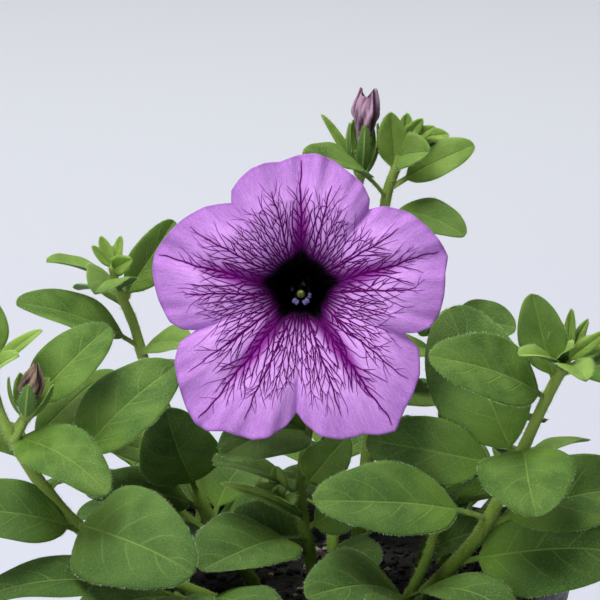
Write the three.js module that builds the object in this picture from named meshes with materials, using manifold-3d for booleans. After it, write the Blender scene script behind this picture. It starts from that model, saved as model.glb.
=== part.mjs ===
// A potted petunia: a 12 cm nursery pot of black plastic, the soil in it, eleven leafy shoots that
// each stand in a hole in the soil, one open flower with its stamens and pistil, and two faded ones.
// Millimetres, +Z up, the origin at the centre of the pot's flat underside, the flower facing -Y.
import * as THREE from 'three';
import { mergeVertices } from 'three/addons/utils/BufferGeometryUtils.js';
import Module from 'manifold-3d';

const wasm = await Module();
wasm.setup();

// Pot: a thrown-away growing pot, thin walled, with a stiff lip and a ring of drainage holes.
const POT_HEIGHT = 93;
const POT_RIM_RADIUS = 59.5;
const POT_BASE_RADIUS = 42;
const POT_WALL = 1.4;
const POT_LIP_DEPTH = 9;
const POT_LIP_OVERHANG = 2;
const POT_SIDES = 32;
const POT_FOOT_BEVEL = 1.2;
const POT_LIP_BEVEL = 0.7;
const DRAIN_HOLES = 8;
const DRAIN_RADIUS = 4;
const DRAIN_CIRCLE = 31;
const DRAIN_SIDES = 8;
const POT_BLACK = 0x1b1d20;

// Soil: its level at the wall, how much it rises to the middle, and how rough its top is.
const SOIL_LEVEL = 82;
const SOIL_MOUND = 2.5;
const SOIL_ROUGHNESS = 0.8;
const SOIL_SIDES = 20;
const SOIL_RINGS = [0.33, 0.66, 1];
const SOIL_BROWN = 0x2e2219;
// The gap left between pieces that touch, and the depth the stems reach down to in the soil.
const FIT_GAP = 0.35;
const BURIED_TO = 68;

// Leaves and stems. A blade is drawn with more stations along it the wider it is.
const BLADE_THICKNESS = 0.7;
const STALK_THICKNESS = 1.3;
const STALK_HALF_WIDTH = 0.8;
const TIP_HALF_WIDTH = 0.35;
const SLIM_SWELL = 1.2;
const STALK_SHARE = 0.17;
const BLADE_FULLNESS = 0.87;
const FOOT_TAPER = 0.75;
const TIP_TAPER = 0.47;
const WIDE_BLADE = 10.5;
const SLIM_BLADE = 6;
const WIDE_STATIONS = [0, 0.2, 0.5, 0.8, 0.985];
const PLAIN_STATIONS = [0, 0.4, 0.95];
const STEM_SIDES = 6;
const STEM_STEPS = 1.2;
const LEAF_GREEN = 0x5c7d3d;

// Calyx: its sepals, and their arch, fold and stalk share as for a leaf.
const SEPALS = 5;
const SEPAL_ARCH = -0.12;
const SEPAL_FOLD = 0.2;
const SEPAL_STALK = 0.05;

// Flower: where its face is centred, how far it looks up, and its five lobes.
const FACE_CENTRE = new THREE.Vector3(-7, -28, 165);
const FACE_RISE = THREE.MathUtils.degToRad(8);
const PETAL_THICKNESS = 0.7;
const LOBES = 5;
const LOBE_ANGLES = [90, 17, -55, -128, -195];
const LOBE_REACH = [32.8, 35.8, 38.8, 39, 35.4];
const NOTCH_ANGLES = [50, -21, -90, -160, -233.4];
const NOTCH_REACH = [26, 28, 29.5, 29, 27];
const STEPS_PER_HALF_LOBE = 4;
// Radius of the funnel, and how far it lies behind the face, from the floor of the tube outwards.
const FUNNEL = [[3.2, -30], [3.7, -21], [5.2, -13.5], [7.2, -8.5], [9.2, -5]];
const LIMB_SHARES = [0.16, 0.42, 0.75, 1];
// Relief of the open part: how soon it lies flat, the groove along each lobe, the dip at a notch,
// and how far and from what share of the reach the margin turns back.
const FLARE = 5;
const LIMB_LIFT = 0.6;
const LIFT_WIDTH = 12;
const GROOVE_DEPTH = 0.9;
const GROOVE_WIDTH = 0.16;
const NOTCH_DIP = 0.8;
const MARGIN_FALL = 2.2;
const MARGIN_START = 0.7;
const LILAC = 0xb47dcd;

const vector = (p) => new THREE.Vector3(...p);

// A closed body from its points and triangles, turned to face outwards.
function solidFrom(points, triangles) {
  let sixfold = 0;
  for (const [a, b, c] of triangles) {
    sixfold += points[a].dot(new THREE.Vector3().crossVectors(points[b], points[c]));
  }
  const facing = sixfold < 0 ? triangles.map(([a, b, c]) => [a, c, b]) : triangles;
  const vertProperties = Float32Array.from(points.flatMap((p) => p.toArray()));
  const triVerts = Uint32Array.from(facing.flat());
  return new wasm.Manifold(new wasm.Mesh({ numProp: 3, vertProperties, triVerts }));
}

// A closed body from a geometry of three.js, with its shared vertices merged.
function solidOf(geometry) {
  const bare = geometry.clone();
  bare.deleteAttribute('normal');
  bare.deleteAttribute('uv');
  const merged = mergeVertices(bare, 1e-4);
  const place = merged.getAttribute('position');
  const points = [];
  for (let i = 0; i < place.count; i++) points.push(new THREE.Vector3().fromBufferAttribute(place, i));
  const triangles = [];
  for (let i = 0; i < merged.index.count; i += 3) {
    const corner = [0, 1, 2].map((j) => merged.index.getX(i + j));
    if (new Set(corner).size === 3) triangles.push(corner);
  }
  return solidFrom(points, triangles);
}

// A skin over rings of equal, even count, closed at both ends. The second half of a ring runs back
// under the first, and both halves are split into triangles alike, so that a thin blade never crosses.
function loft(rings) {
  const count = rings[0].length;
  const half = count / 2;
  const triangles = [];
  for (let i = 0; i + 1 < rings.length; i++) {
    for (let j = 0; j < count; j++) {
      const a = i * count + j;
      const b = i * count + ((j + 1) % count);
      const c = a + count;
      const d = b + count;
      if (j < half) triangles.push([a, b, d], [a, d, c]);
      else triangles.push([a, b, c], [b, d, c]);
    }
  }
  const last = (rings.length - 1) * count;
  for (let j = 0; j + 1 < half; j++) {
    const k = count - 1 - j;
    triangles.push([j, k, j + 1], [j + 1, k, k - 1]);
    triangles.push([last + j, last + j + 1, last + k], [last + j + 1, last + k - 1, last + k]);
  }
  return solidFrom(rings.flat(), triangles);
}

// A round bar through points, one radius for each, its section carried along without twist.
function bar(points, radii, sides = STEM_SIDES) {
  const tangents = points.map((p, i) => {
    const before = points[Math.max(i - 1, 0)];
    const after = points[Math.min(i + 1, points.length - 1)];
    return after.clone().sub(before).normalize();
  });
  const start = Math.abs(tangents[0].x) < 0.8 ? new THREE.Vector3(1, 0, 0) : new THREE.Vector3(0, 1, 0);
  const across = start.addScaledVector(tangents[0], -start.dot(tangents[0])).normalize();
  const rings = points.map((p, i) => {
    across.addScaledVector(tangents[i], -across.dot(tangents[i])).normalize();
    const up = new THREE.Vector3().crossVectors(tangents[i], across);
    return Array.from({ length: sides }, (_, j) => {
      const angle = (j / sides) * 2 * Math.PI;
      const ring = p.clone().addScaledVector(across, radii[i] * Math.cos(angle));
      return ring.addScaledVector(up, radii[i] * Math.sin(angle));
    });
  });
  return loft(rings);
}

// Half the width of a blade as a share of its widest, from the end of its stalk (0) to its tip (1).
function bladeShape(t) {
  return Math.sin(Math.PI * t ** BLADE_FULLNESS) ** (FOOT_TAPER + (TIP_TAPER - FOOT_TAPER) * t);
}

// A leaf on its stalk. Its midline is an arch from base to tip that bulges the way the blade faces,
// and its two halves are folded up along it.
function leaf(base, tip, width, facing, arch, fold, stalk = STALK_SHARE) {
  const chord = tip.clone().sub(base);
  const length = chord.length();
  const ahead = chord.clone().normalize();
  const up = facing.clone().addScaledVector(ahead, -facing.dot(ahead)).normalize();
  const crown = base.clone().add(tip).multiplyScalar(0.5).addScaledVector(up, 2 * arch * length);
  const midline = new THREE.QuadraticBezierCurve3(base, crown, tip);
  const wide = width >= WIDE_BLADE;
  const slim = width < SLIM_BLADE;
  const stations = wide ? WIDE_STATIONS : PLAIN_STATIONS;
  const rings = [[0, 0]].concat(stations.map((t) => [stalk + (1 - stalk) * t, t])).map(([along, t]) => {
    const centre = midline.getPoint(along);
    const forward = midline.getTangent(along);
    const side = new THREE.Vector3().crossVectors(forward, up).normalize();
    const normal = new THREE.Vector3().crossVectors(side, forward);
    const least = t < 0.5 ? Math.min(STALK_HALF_WIDTH, width / 5) : TIP_HALF_WIDTH;
    const half = Math.max(bladeShape(t) * width / 2, least);
    const thick = t === 0 ? Math.min(STALK_THICKNESS, Math.max(width / 4, BLADE_THICKNESS)) : BLADE_THICKNESS;
    const at = (share, sign) => centre.clone()
      .addScaledVector(side, share * half)
      .addScaledVector(normal, Math.abs(share) * half * fold + sign * thick / 2);
    if (slim) return [at(-1, 0), at(0, SLIM_SWELL), at(1, 0), at(0, -SLIM_SWELL)];
    return [at(-1, 1), at(0, 1), at(1, 1), at(1, -1), at(0, -1), at(-1, -1)];
  });
  return loft(rings);
}

// The stem's curve. A place on it is counted in points of its spine, so 2.5 is halfway from the third
// to the fourth.
function stemCurve(spine) {
  return new THREE.CatmullRomCurve3(spine.map(vector), false, 'catmullrom', 0.5);
}

function stemPoint(spine, place) {
  return stemCurve(spine).getPoint(place / (spine.length - 1));
}

function stem(spine, [thick, thin], swell = 0) {
  const curve = stemCurve(spine);
  const steps = Math.ceil(STEM_STEPS * (spine.length - 1));
  const points = curve.getPoints(steps);
  const radii = points.map((p, i) => thick + (thin - thick) * (i / steps) + swell);
  return bar(points, radii);
}

// A calyx: a small cup at the end of a flower stalk, with five narrow sepals round it.
function calyx({ at, toward, cup, sepals, spread, width, turn = 0 }) {
  const base = vector(at);
  const axis = vector(toward).normalize();
  const side = new THREE.Vector3().crossVectors(axis, new THREE.Vector3(0.2, 0.3, 1)).normalize();
  const other = new THREE.Vector3().crossVectors(axis, side);
  const ends = [-cup * 0.9, 0, cup * 0.35].map((d) => base.clone().addScaledVector(axis, d));
  let solid = bar(ends, [cup * 0.45, cup, cup * 0.8]);
  for (let i = 0; i < SEPALS; i++) {
    const angle = turn + (i / SEPALS) * 2 * Math.PI;
    const out = side.clone().multiplyScalar(Math.cos(angle)).addScaledVector(other, Math.sin(angle));
    const foot = base.clone().addScaledVector(out, cup * 0.55).addScaledVector(axis, -cup * 0.25);
    const tip = base.clone().addScaledVector(out, cup + spread * sepals).addScaledVector(axis, sepals);
    const inward = out.clone().negate();
    solid = solid.add(leaf(foot, tip, width, inward, SEPAL_ARCH, SEPAL_FOLD, SEPAL_STALK));
  }
  return solid;
}

// The shoots. Each stem has the points of its spine and its radius at both ends; a side stem starts
// at a place on the first stem. A leaf is: its place on the stem, tip, width, the way its upper face
// looks, arch, fold, and the share of its length that is stalk where that isn't the usual one.
const SHOOTS = [
  {
    name: 'shoot_front_right',
    stems: [
      {
        spine: [[20, -12, BURIED_TO], [20, -12, 83], [26, -17, 92], [35, -22, 104], [41, -24, 116],
          [45, -24, 125], [51, -22, 138], [56, -20, 147]],
        radius: [2, 1.2],
        leaves: [
          [2.4, [70, -30, 102], 26, [0, -0.78, 0.62], 0.12, 0.2],
          [3.4, [-4, -46, 119.5], 20, [0, -0.72, 0.7], 0.07, 0.2, 0.22],
          [3.2, [76, -18, 115], 21.5, [0, -0.65, 0.76], 0.1, 0.2],
          [4.7, [9, -13, 126.5], 16.5, [-0.05, -0.98, 0.15], 0.08, 0.2],
          [5.1, [47.5, -45, 115.5], 23, [-0.05, -0.6, 0.8], 0.12, 0.15, 0.06],
          [4.8, [29, -8, 157], 24, [-0.25, -0.9, 0.35], 0.05, 0.25, 0.1],
          [6, [23, -35, 152], 17.5, [0.1, -0.75, 0.65], 0.1, 0.2, 0.1],
          [6.4, [47, -22, 163.5], 11.5, [-0.15, -0.95, 0.2], -0.03, 0.3, 0.1],
          [6.7, [44, -32, 151], 7, [-0.2, -0.5, 0.8], 0.1, 0.4],
          [6.7, [60, -36, 146], 9, [0.1, -0.5, 0.85], 0.14, 0.3, 0.1],
          [6.6, [75, -14, 144], 14, [0.3, -0.6, 0.75], 0.1, 0.3],
          [7, [57, -18, 159], 3, [0, -1, 0.2], -0.05, 0.3, 0.05],
          [7, [61, -16, 156], 3.2, [0.3, -0.9, 0.2], -0.08, 0.3, 0.05],
          [7, [65, -20, 154], 3.6, [0.2, -0.8, 0.5], -0.1, 0.3, 0.05],
          [7, [52, -22, 155], 4, [-0.3, -0.9, 0.3], -0.05, 0.5, 0.05],
          [7, [54, -13, 155], 4, [0, 0.9, 0.3], 0.1, 0.3, 0.05],
          [7, [65, -15, 151], 5.5, [0.3, -0.8, 0.5], 0.06, 0.4, 0.1],
          [6.9, [57, -29, 152.5], 5.5, [0, -0.75, 0.65], 0.08, 0.4, 0.1],
        ],
      },
    ],
  },
  {
    name: 'shoot_front_left',
    stems: [
      {
        spine: [[-22, -18, BURIED_TO], [-22, -18, 83], [-38, -22, 93], [-56, -24, 104],
          [-67, -25, 116], [-75, -25, 129], [-79, -24, 138], [-80, -22, 147]],
        radius: [2, 1.2],
        leaves: [
          [3.1, [-92, -36, 115], 17.5, [-0.1, -0.68, 0.72], 0.1, 0.2],
          [3.3, [-32, -57, 105], 26, [-0.3, -0.76, 0.58], 0.13, 0.12, 0.08],
          [4, [-37, -12, 144], 19, [-0.35, -0.8, 0.5], 0.06, 0.2, 0.28],
          [4.7, [-52, -2, 140], 11, [0, -0.5, 0.85], 0.06, 0.2],
          [5, [-52, -45, 121], 16, [0, -0.6, 0.8], 0.14, 0.15, 0.08],
          [5.1, [-52, -15, 153.5], 15, [-0.35, -0.8, 0.5], 0.1, 0.2, 0.26],
          [6.9, [-81, -22, 163], 9, [0.3, -0.9, 0.2], -0.04, 0.3, 0.1],
          [6.8, [-68, -23, 155], 4, [-0.2, -0.7, 0.7], 0.05, 0.4, 0.05],
          [6.6, [-73, -32, 151], 5.5, [0.2, -0.7, 0.7], 0.08, 0.4, 0.05],
          [6.5, [-92, -14, 150], 10, [-0.3, -0.2, 0.9], 0.1, 0.3],
          [6, [-93, -30, 140], 11, [-0.2, -0.5, 0.85], 0.12, 0.2],
          [4.4, [-88, -4, 126], 13, [-0.3, 0.2, 0.9], 0.12, 0.2],
        ],
      },
      {
        from: 4.8,
        spine: [[-74, -28, 130], [-71.7, -28.5, 135]],
        radius: [1.1, 1],
        leaves: [],
      },
    ],
    calyces: [
      {
        at: [-71.5, -28.5, 136], toward: [0.15, 0, 1], cup: 2, sepals: 8.5, spread: 0.42, width: 4.2,
        turn: 0.4,
      },
    ],
  },
  {
    name: 'shoot_left',
    stems: [
      {
        spine: [[-18, 6, BURIED_TO], [-18, 6, 83], [-28, 10, 97], [-35, 14, 112], [-40, 18, 125],
          [-45, 20, 136], [-48, 22, 146], [-52, 24, 155], [-53, 24, 160]],
        radius: [1.9, 1],
        leaves: [
          [1.6, [-38, -14, 99], 17, [-0.1, -0.4, 0.9], 0.12, 0.2],
          [2.1, [-20, 34, 108], 16, [0.1, 0.1, 0.95], 0.12, 0.2],
          [1.9, [-10, 4, 106], 13, [0.2, -0.5, 0.85], 0.12, 0.2],
          [2.3, [-59, -3, 110], 15, [-0.2, -0.6, 0.8], 0.1, 0.2],
          [2.6, [-40, -8, 132], 20, [-0.1, -0.9, 0.4], 0.06, 0.2],
          [2.9, [-56, -4, 122], 11, [-0.2, -0.7, 0.7], 0.1, 0.2],
          [3.3, [-66, 28, 117], 15, [-0.2, 0.2, 0.95], 0.12, 0.2],
          [4.2, [-34, 46, 130], 15, [0, 0.5, 0.85], 0.12, 0.2],
          [5.4, [-76, 12, 153], 16, [0, -0.4, 0.9], 0.08, 0.22],
          [5.3, [-34, 8, 143.5], 11.5, [0.1, -0.6, 0.8], 0.12, 0.2],
          [6.6, [-38, 30, 170], 11, [0.45, -0.8, 0.3], -0.03, 0.3, 0.1],
          [6.8, [-57, 5, 157.5], 12, [0, -0.6, 0.8], 0.16, 0.45, 0.1],
          [7, [-69, 20, 162], 9, [-0.1, -0.15, 1], 0.08, 0.3],
          [6.2, [-62, 42, 150], 11.5, [-0.2, 0.5, 0.85], 0.12, 0.2],
          [7.9, [-58, 24, 165], 2.8, [0.5, -0.8, 0.2], -0.05, 0.3, 0.05],
          [7.9, [-56, 26, 167], 3.2, [0, -1, 0.2], -0.05, 0.3, 0.05],
          [7.9, [-51, 26, 167], 3.2, [-0.5, -0.8, 0.2], -0.05, 0.3, 0.05],
          [7.8, [-53, 32, 163], 4, [0, 0.8, 0.5], 0.1, 0.3, 0.05],
          [7.8, [-48, 18, 163], 5, [0.3, -0.85, 0.4], 0.06, 0.4, 0.05],
        ],
      },
    ],
  },
  {
    name: 'shoot_top',
    stems: [
      {
        spine: [[6, 14, BURIED_TO], [6, 14, 83], [8, 17, 100], [10, 20, 118], [12, 22, 136],
          [13, 23, 152], [13, 24, 168], [14, 24, 178], [17, 23, 187], [18, 23, 192]],
        radius: [2, 1],
        leaves: [
          [1.5, [24, 0, 103], 15, [0.2, -0.5, 0.85], 0.12, 0.2],
          [1.9, [-12, 4, 112], 14, [-0.2, -0.6, 0.8], 0.1, 0.2],
          [2.8, [22, 4, 122], 13, [0.1, -0.6, 0.8], 0.1, 0.2],
          [3.4, [34, 46, 122], 16, [0.2, 0.4, 0.9], 0.12, 0.2],
          [4.3, [-10, 48, 142], 15, [-0.1, 0.5, 0.85], 0.12, 0.2],
          [5.1, [21, 50, 158], 13, [0.2, 0.5, 0.85], 0.12, 0.2],
          [5.7, [0, 50, 168], 13, [0, 0.5, 0.85], 0.12, 0.2],
          [6.4, [32.5, 10, 170.5], 12, [0, -0.5, 0.87], 0.14, 0.2],
          [6.9, [-6, 5, 191], 13, [0, -0.4, 0.92], 0.1, 0.25, 0.3],
          [7.1, [35, 20, 191], 11, [0.1, -0.65, 0.75], 0.04, 0.25, 0.24],
          [7.4, [18, 44, 187], 11, [0.1, 0.5, 0.85], 0.12, 0.2],
          [8, [24, 12, 190.5], 10, [-0.1, -0.85, 0.5], 0.1, 0.35, 0.1],
          [7.6, [15, 20, 199], 7.5, [-0.1, -0.95, 0.25], -0.04, 0.4, 0.1],
          [8.8, [19, 24, 198], 3.6, [-0.2, -0.9, 0.3], -0.04, 0.4, 0.05],
          [8.8, [22.5, 22, 197], 3.6, [0.2, -0.9, 0.3], -0.05, 0.4, 0.05],
          [8.8, [25.5, 22, 195], 3.6, [0.2, -0.8, 0.5], -0.06, 0.4, 0.05],
          [8.7, [29, 27, 192], 5, [0.2, -0.6, 0.8], 0.06, 0.4, 0.05],
        ],
      },
      {
        from: 5.3,
        spine: [[8.4, 24.5, 168], [7, 24.5, 176], [7.6, 24.3, 182.4]],
        radius: [1.1, 0.9],
        leaves: [
          [2.9, [-2, 22, 198], 3, [0, -0.6, 0.8], 0.03, 0.4, 0.05],
        ],
      },
      {
        from: 4.3,
        spine: [[7, 18, 148], [0, 11, 156], [-6, 5.6, 160], [-7, 4.6, 160.4]],
        radius: [1.3, 1.2],
        leaves: [],
      },
    ],
    calyces: [
      {
        at: [7.7, 24.3, 183.2], toward: [0.04, 0, 1], cup: 1.9, sepals: 12.5, spread: 0.13, width: 3.6,
        turn: 0.9,
      },
      { at: [-7, 4.6, 160.4], toward: [0, -0.99, 0.139], cup: 3, sepals: 14, spread: 0.34, width: 4 },
    ],
  },
  {
    name: 'shoot_right',
    stems: [
      {
        spine: [[21, 6, BURIED_TO], [21, 6, 83], [25, 11, 96], [28, 16, 110], [28, 20, 124],
          [27, 22, 136], [25, 22, 144]],
        radius: [1.8, 1.1],
        leaves: [
          [1.5, [43, -2, 100], 15, [0.2, -0.5, 0.85], 0.12, 0.2],
          [1.8, [34, 34, 106], 15, [0.1, 0.1, 0.95], 0.12, 0.2],
          [2.5, [12, -4, 112], 15, [-0.2, -0.6, 0.8], 0.1, 0.2],
          [2.3, [58, 24, 101], 17, [0.2, 0, 1], 0.12, 0.2],
          [3, [38, -2, 116], 13, [0.1, -0.7, 0.7], 0.1, 0.2],
          [3.2, [54, 42, 116], 15, [0.2, 0.4, 0.9], 0.12, 0.2],
          [4.4, [50, 34, 134], 14, [0.3, 0.3, 0.9], 0.12, 0.2],
          [4.2, [12, 4, 132], 13, [-0.3, -0.7, 0.6], 0.1, 0.2],
          [5.2, [15, 6, 142], 10.6, [-0.2, -0.7, 0.7], 0.1, 0.2],
          [5.7, [45.5, 18, 146], 16, [0.1, -0.5, 0.85], 0.12, 0.2],
          [5.9, [30, 12, 150], 6, [0.2, -0.7, 0.6], 0.1, 0.4, 0.1],
          [5.9, [22, 16, 150], 5, [-0.3, -0.7, 0.6], 0.1, 0.4, 0.1],
        ],
      },
    ],
  },
  {
    name: 'shoot_centre',
    stems: [
      {
        spine: [[-3, -6, BURIED_TO], [-3, -6, 84], [-5, -8, 97], [-7, -9, 110], [-6, -6, 122],
          [-4, -2, 132]],
        radius: [1.8, 1.1],
        leaves: [
          [1.5, [12, -24, 98], 16, [0.2, -0.6, 0.8], 0.12, 0.2],
          [1.8, [-24, -12, 106], 17, [-0.2, -0.6, 0.8], 0.1, 0.2],
          [2.2, [-30, -46, 102.5], 23, [-0.35, -0.8, 0.5], 0.07, 0.25, 0.26],
          [2.4, [11, -14, 112], 12, [0.1, -0.8, 0.6], 0.08, 0.25],
          [2.6, [-26, -28, 119], 3.2, [0.4, -0.8, 0.4], 0.12, 0.4, 0.1],
          [3, [-28, -16, 121], 13, [-0.5, -0.3, 0.8], 0.1, 0.25, 0.2],
          [3.2, [4, -18, 128], 11, [0.3, -0.85, 0.4], 0.05, 0.25, 0.2],
          [4.3, [-26, -31, 126.5], 17, [-0.2, -0.8, 0.55], 0.12, 0.2, 0.1],
          [4.2, [-12, -12, 132], 6, [0.2, -0.9, 0.3], -0.05, 0.4, 0.1],
          [4.6, [10, 0, 141], 9, [0.2, -0.5, 0.8], 0.1, 0.3, 0.1],
          [4.8, [-18, 2, 142], 8, [-0.3, -0.4, 0.85], 0.1, 0.3, 0.1],
        ],
      },
      {
        from: 2.7,
        spine: [[-11, -14, 109], [-12.5, -17, 112.5]],
        radius: [1, 0.8],
        leaves: [
          [1.6, [-13, -16, 120], 5, [0.2, -0.9, 0.3], -0.04, 0.4, 0.1],
          [1.8, [-18, -20, 116], 5, [-0.2, -0.8, 0.5], 0.08, 0.4, 0.1],
          [1.8, [-9, -25, 113], 5.5, [0.2, -0.6, 0.8], 0.1, 0.4, 0.1],
          [2, [-12, -22, 117], 3.2, [0, -1, 0.2], -0.05, 0.4, 0.1],
        ],
      },
    ],
  },
  {
    name: 'shoot_low_left',
    stems: [
      {
        spine: [[-24, -32, BURIED_TO], [-24, -32, 83], [-30, -35, 89], [-37, -37, 94]],
        radius: [1.7, 1.2],
        leaves: [
          [2.2, [-12, -66, 92], 17, [0.1, -0.5, 0.85], 0.17, 0.1],
          [2.5, [-34, -70, 91], 15, [-0.1, -0.5, 0.85], 0.17, 0.1],
          [2.6, [-61, -54, 89], 16, [-0.3, -0.5, 0.85], 0.16, 0.2],
          [3, [-84, -36, 92], 17, [-0.1, -0.35, 0.95], 0.12, 0.2],
        ],
      },
    ],
  },
  {
    name: 'shoot_low_right',
    stems: [
      {
        spine: [[14, -30, BURIED_TO], [14, -30, 83], [18, -28, 90], [23, -23, 99], [26, -17, 108],
          [27, -14, 114]],
        radius: [1.6, 1.1],
        leaves: [
          [2, [-6, -54, 99], 21, [0, -0.65, 0.75], 0.12, 0.15, 0.1],
          [1.5, [14, -70, 90], 16, [0.1, -0.5, 0.85], 0.16, 0.2],
          [2.1, [44, -50, 92], 15, [0.2, -0.4, 0.9], 0.14, 0.2],
          [3.8, [13, -6, 116], 9, [-0.3, -0.6, 0.7], 0.1, 0.3],
          [4.6, [32, -8, 122], 7, [0.2, -0.8, 0.5], 0.06, 0.3, 0.1],
          [4.9, [24, -9, 123], 5, [-0.1, -0.8, 0.5], 0.05, 0.4, 0.1],
        ],
      },
    ],
  },
  {
    name: 'shoot_back_left',
    stems: [
      {
        spine: [[-24, 26, BURIED_TO], [-24, 26, 83], [-33, 34, 91], [-42, 42, 97], [-47, 47, 101]],
        radius: [1.7, 1.1],
        leaves: [
          [1.7, [-62, 20, 97], 17, [-0.2, -0.1, 1], 0.12, 0.2],
          [1.8, [-8, 22, 101], 15, [0.1, -0.3, 0.95], 0.12, 0.2],
          [2, [-28, 68, 95], 15, [0, 0.3, 0.95], 0.14, 0.2],
          [3, [-74, 44, 97], 15, [-0.3, 0.1, 0.95], 0.14, 0.2],
          [3.3, [-48, 76, 98], 14, [-0.1, 0.4, 0.9], 0.14, 0.2],
          [3.9, [-64, 60, 107], 9, [-0.3, 0.3, 0.9], 0.1, 0.3],
          [3.9, [-40, 44, 112], 8, [0.2, -0.4, 0.9], 0.08, 0.3],
        ],
      },
    ],
  },
  {
    name: 'shoot_back_right',
    stems: [
      {
        spine: [[28, 28, BURIED_TO], [28, 28, 83], [36, 35, 91], [43, 41, 98], [48, 45, 102]],
        radius: [1.7, 1.1],
        leaves: [
          [1.9, [66, 12, 97], 14, [0.2, -0.1, 1], 0.14, 0.2],
          [2, [30, 70, 95], 15, [0, 0.3, 0.95], 0.14, 0.2],
          [3, [76, 42, 97], 15, [0.3, 0.1, 0.95], 0.14, 0.2],
          [3.3, [52, 76, 98], 14, [0.1, 0.4, 0.9], 0.14, 0.2],
          [3.9, [66, 58, 107], 9, [0.3, 0.3, 0.9], 0.1, 0.3],
          [3.9, [42, 38, 110], 8, [-0.2, -0.3, 0.9], 0.08, 0.3],
        ],
      },
    ],
  },
  {
    name: 'shoot_back',
    stems: [
      {
        spine: [[1, 38, BURIED_TO], [1, 38, 83], [1, 45, 91], [0, 54, 97], [0, 60, 101]],
        radius: [1.7, 1.1],
        leaves: [
          [1.8, [-24, 54, 97], 12, [-0.2, 0.2, 0.95], 0.14, 0.2],
          [2.1, [24, 56, 98], 12, [0.2, 0.2, 0.95], 0.14, 0.2],
          [3, [-18, 82, 98], 14, [-0.2, 0.3, 0.95], 0.14, 0.2],
          [3.3, [16, 86, 98], 14, [0.2, 0.3, 0.95], 0.14, 0.2],
          [3.9, [-2, 80, 107], 9, [0, 0.4, 0.9], 0.1, 0.3],
          [3.9, [2, 56, 112], 8, [0, -0.2, 0.95], 0.08, 0.3],
        ],
      },
    ],
  },
];

function sideSpine(shoot, part) {
  if (part.from === undefined) return part.spine;
  return [stemPoint(shoot.stems[0].spine, part.from).toArray(), ...part.spine];
}

function shootSolid(shoot) {
  const pieces = [];
  for (const part of shoot.stems) {
    const spine = sideSpine(shoot, part);
    pieces.push(stem(spine, part.radius));
    for (const [place, tip, width, facing, arch, fold, stalk] of part.leaves) {
      pieces.push(leaf(stemPoint(spine, place), vector(tip), width, vector(facing), arch, fold, stalk));
    }
  }
  for (const cup of shoot.calyces ?? []) pieces.push(calyx(cup));
  return pieces.reduce((whole, piece) => whole.add(piece));
}

function lathe(profile, sides) {
  const geometry = new THREE.LatheGeometry(profile.map(([r, z]) => new THREE.Vector2(r, z)), sides);
  return solidOf(geometry.rotateX(Math.PI / 2));
}

function potInnerRadius(z) {
  const inside = POT_BASE_RADIUS - POT_WALL;
  const rim = POT_RIM_RADIUS - POT_LIP_OVERHANG - POT_WALL;
  return inside + (rim - inside) * (z - POT_WALL) / (POT_HEIGHT - POT_WALL);
}

function potSolid() {
  const lipFoot = POT_HEIGHT - POT_LIP_DEPTH;
  const wallRadius = potInnerRadius(lipFoot) + POT_WALL;
  let solid = lathe([
    [0, 0], [POT_BASE_RADIUS - POT_FOOT_BEVEL, 0], [POT_BASE_RADIUS, POT_FOOT_BEVEL],
    [wallRadius, lipFoot], [wallRadius + POT_LIP_OVERHANG, lipFoot + POT_LIP_BEVEL],
    [POT_RIM_RADIUS, POT_HEIGHT - POT_LIP_BEVEL], [POT_RIM_RADIUS - POT_LIP_BEVEL, POT_HEIGHT],
    [potInnerRadius(POT_HEIGHT) + POT_LIP_BEVEL, POT_HEIGHT],
    [potInnerRadius(POT_HEIGHT - POT_LIP_BEVEL), POT_HEIGHT - POT_LIP_BEVEL],
    [potInnerRadius(POT_WALL), POT_WALL], [0, POT_WALL],
  ], POT_SIDES);
  for (let i = 0; i < DRAIN_HOLES; i++) {
    const hole = new THREE.CylinderGeometry(DRAIN_RADIUS, DRAIN_RADIUS, 4 * POT_WALL, DRAIN_SIDES);
    const angle = ((i + 0.5) / DRAIN_HOLES) * 2 * Math.PI;
    hole.rotateX(Math.PI / 2);
    hole.translate(DRAIN_CIRCLE * Math.cos(angle), DRAIN_CIRCLE * Math.sin(angle), 0);
    solid = solid.subtract(solidOf(hole));
  }
  return solid;
}

function soilHeight(x, y) {
  const share = Math.hypot(x, y) / potInnerRadius(SOIL_LEVEL);
  const lumps = Math.sin(0.31 * x + 1.7) * Math.sin(0.37 * y + 0.4) + Math.sin(0.53 * x - 0.47 * y);
  return SOIL_LEVEL + SOIL_MOUND * (1 - share * share) + SOIL_ROUGHNESS * 0.5 * lumps;
}

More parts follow.
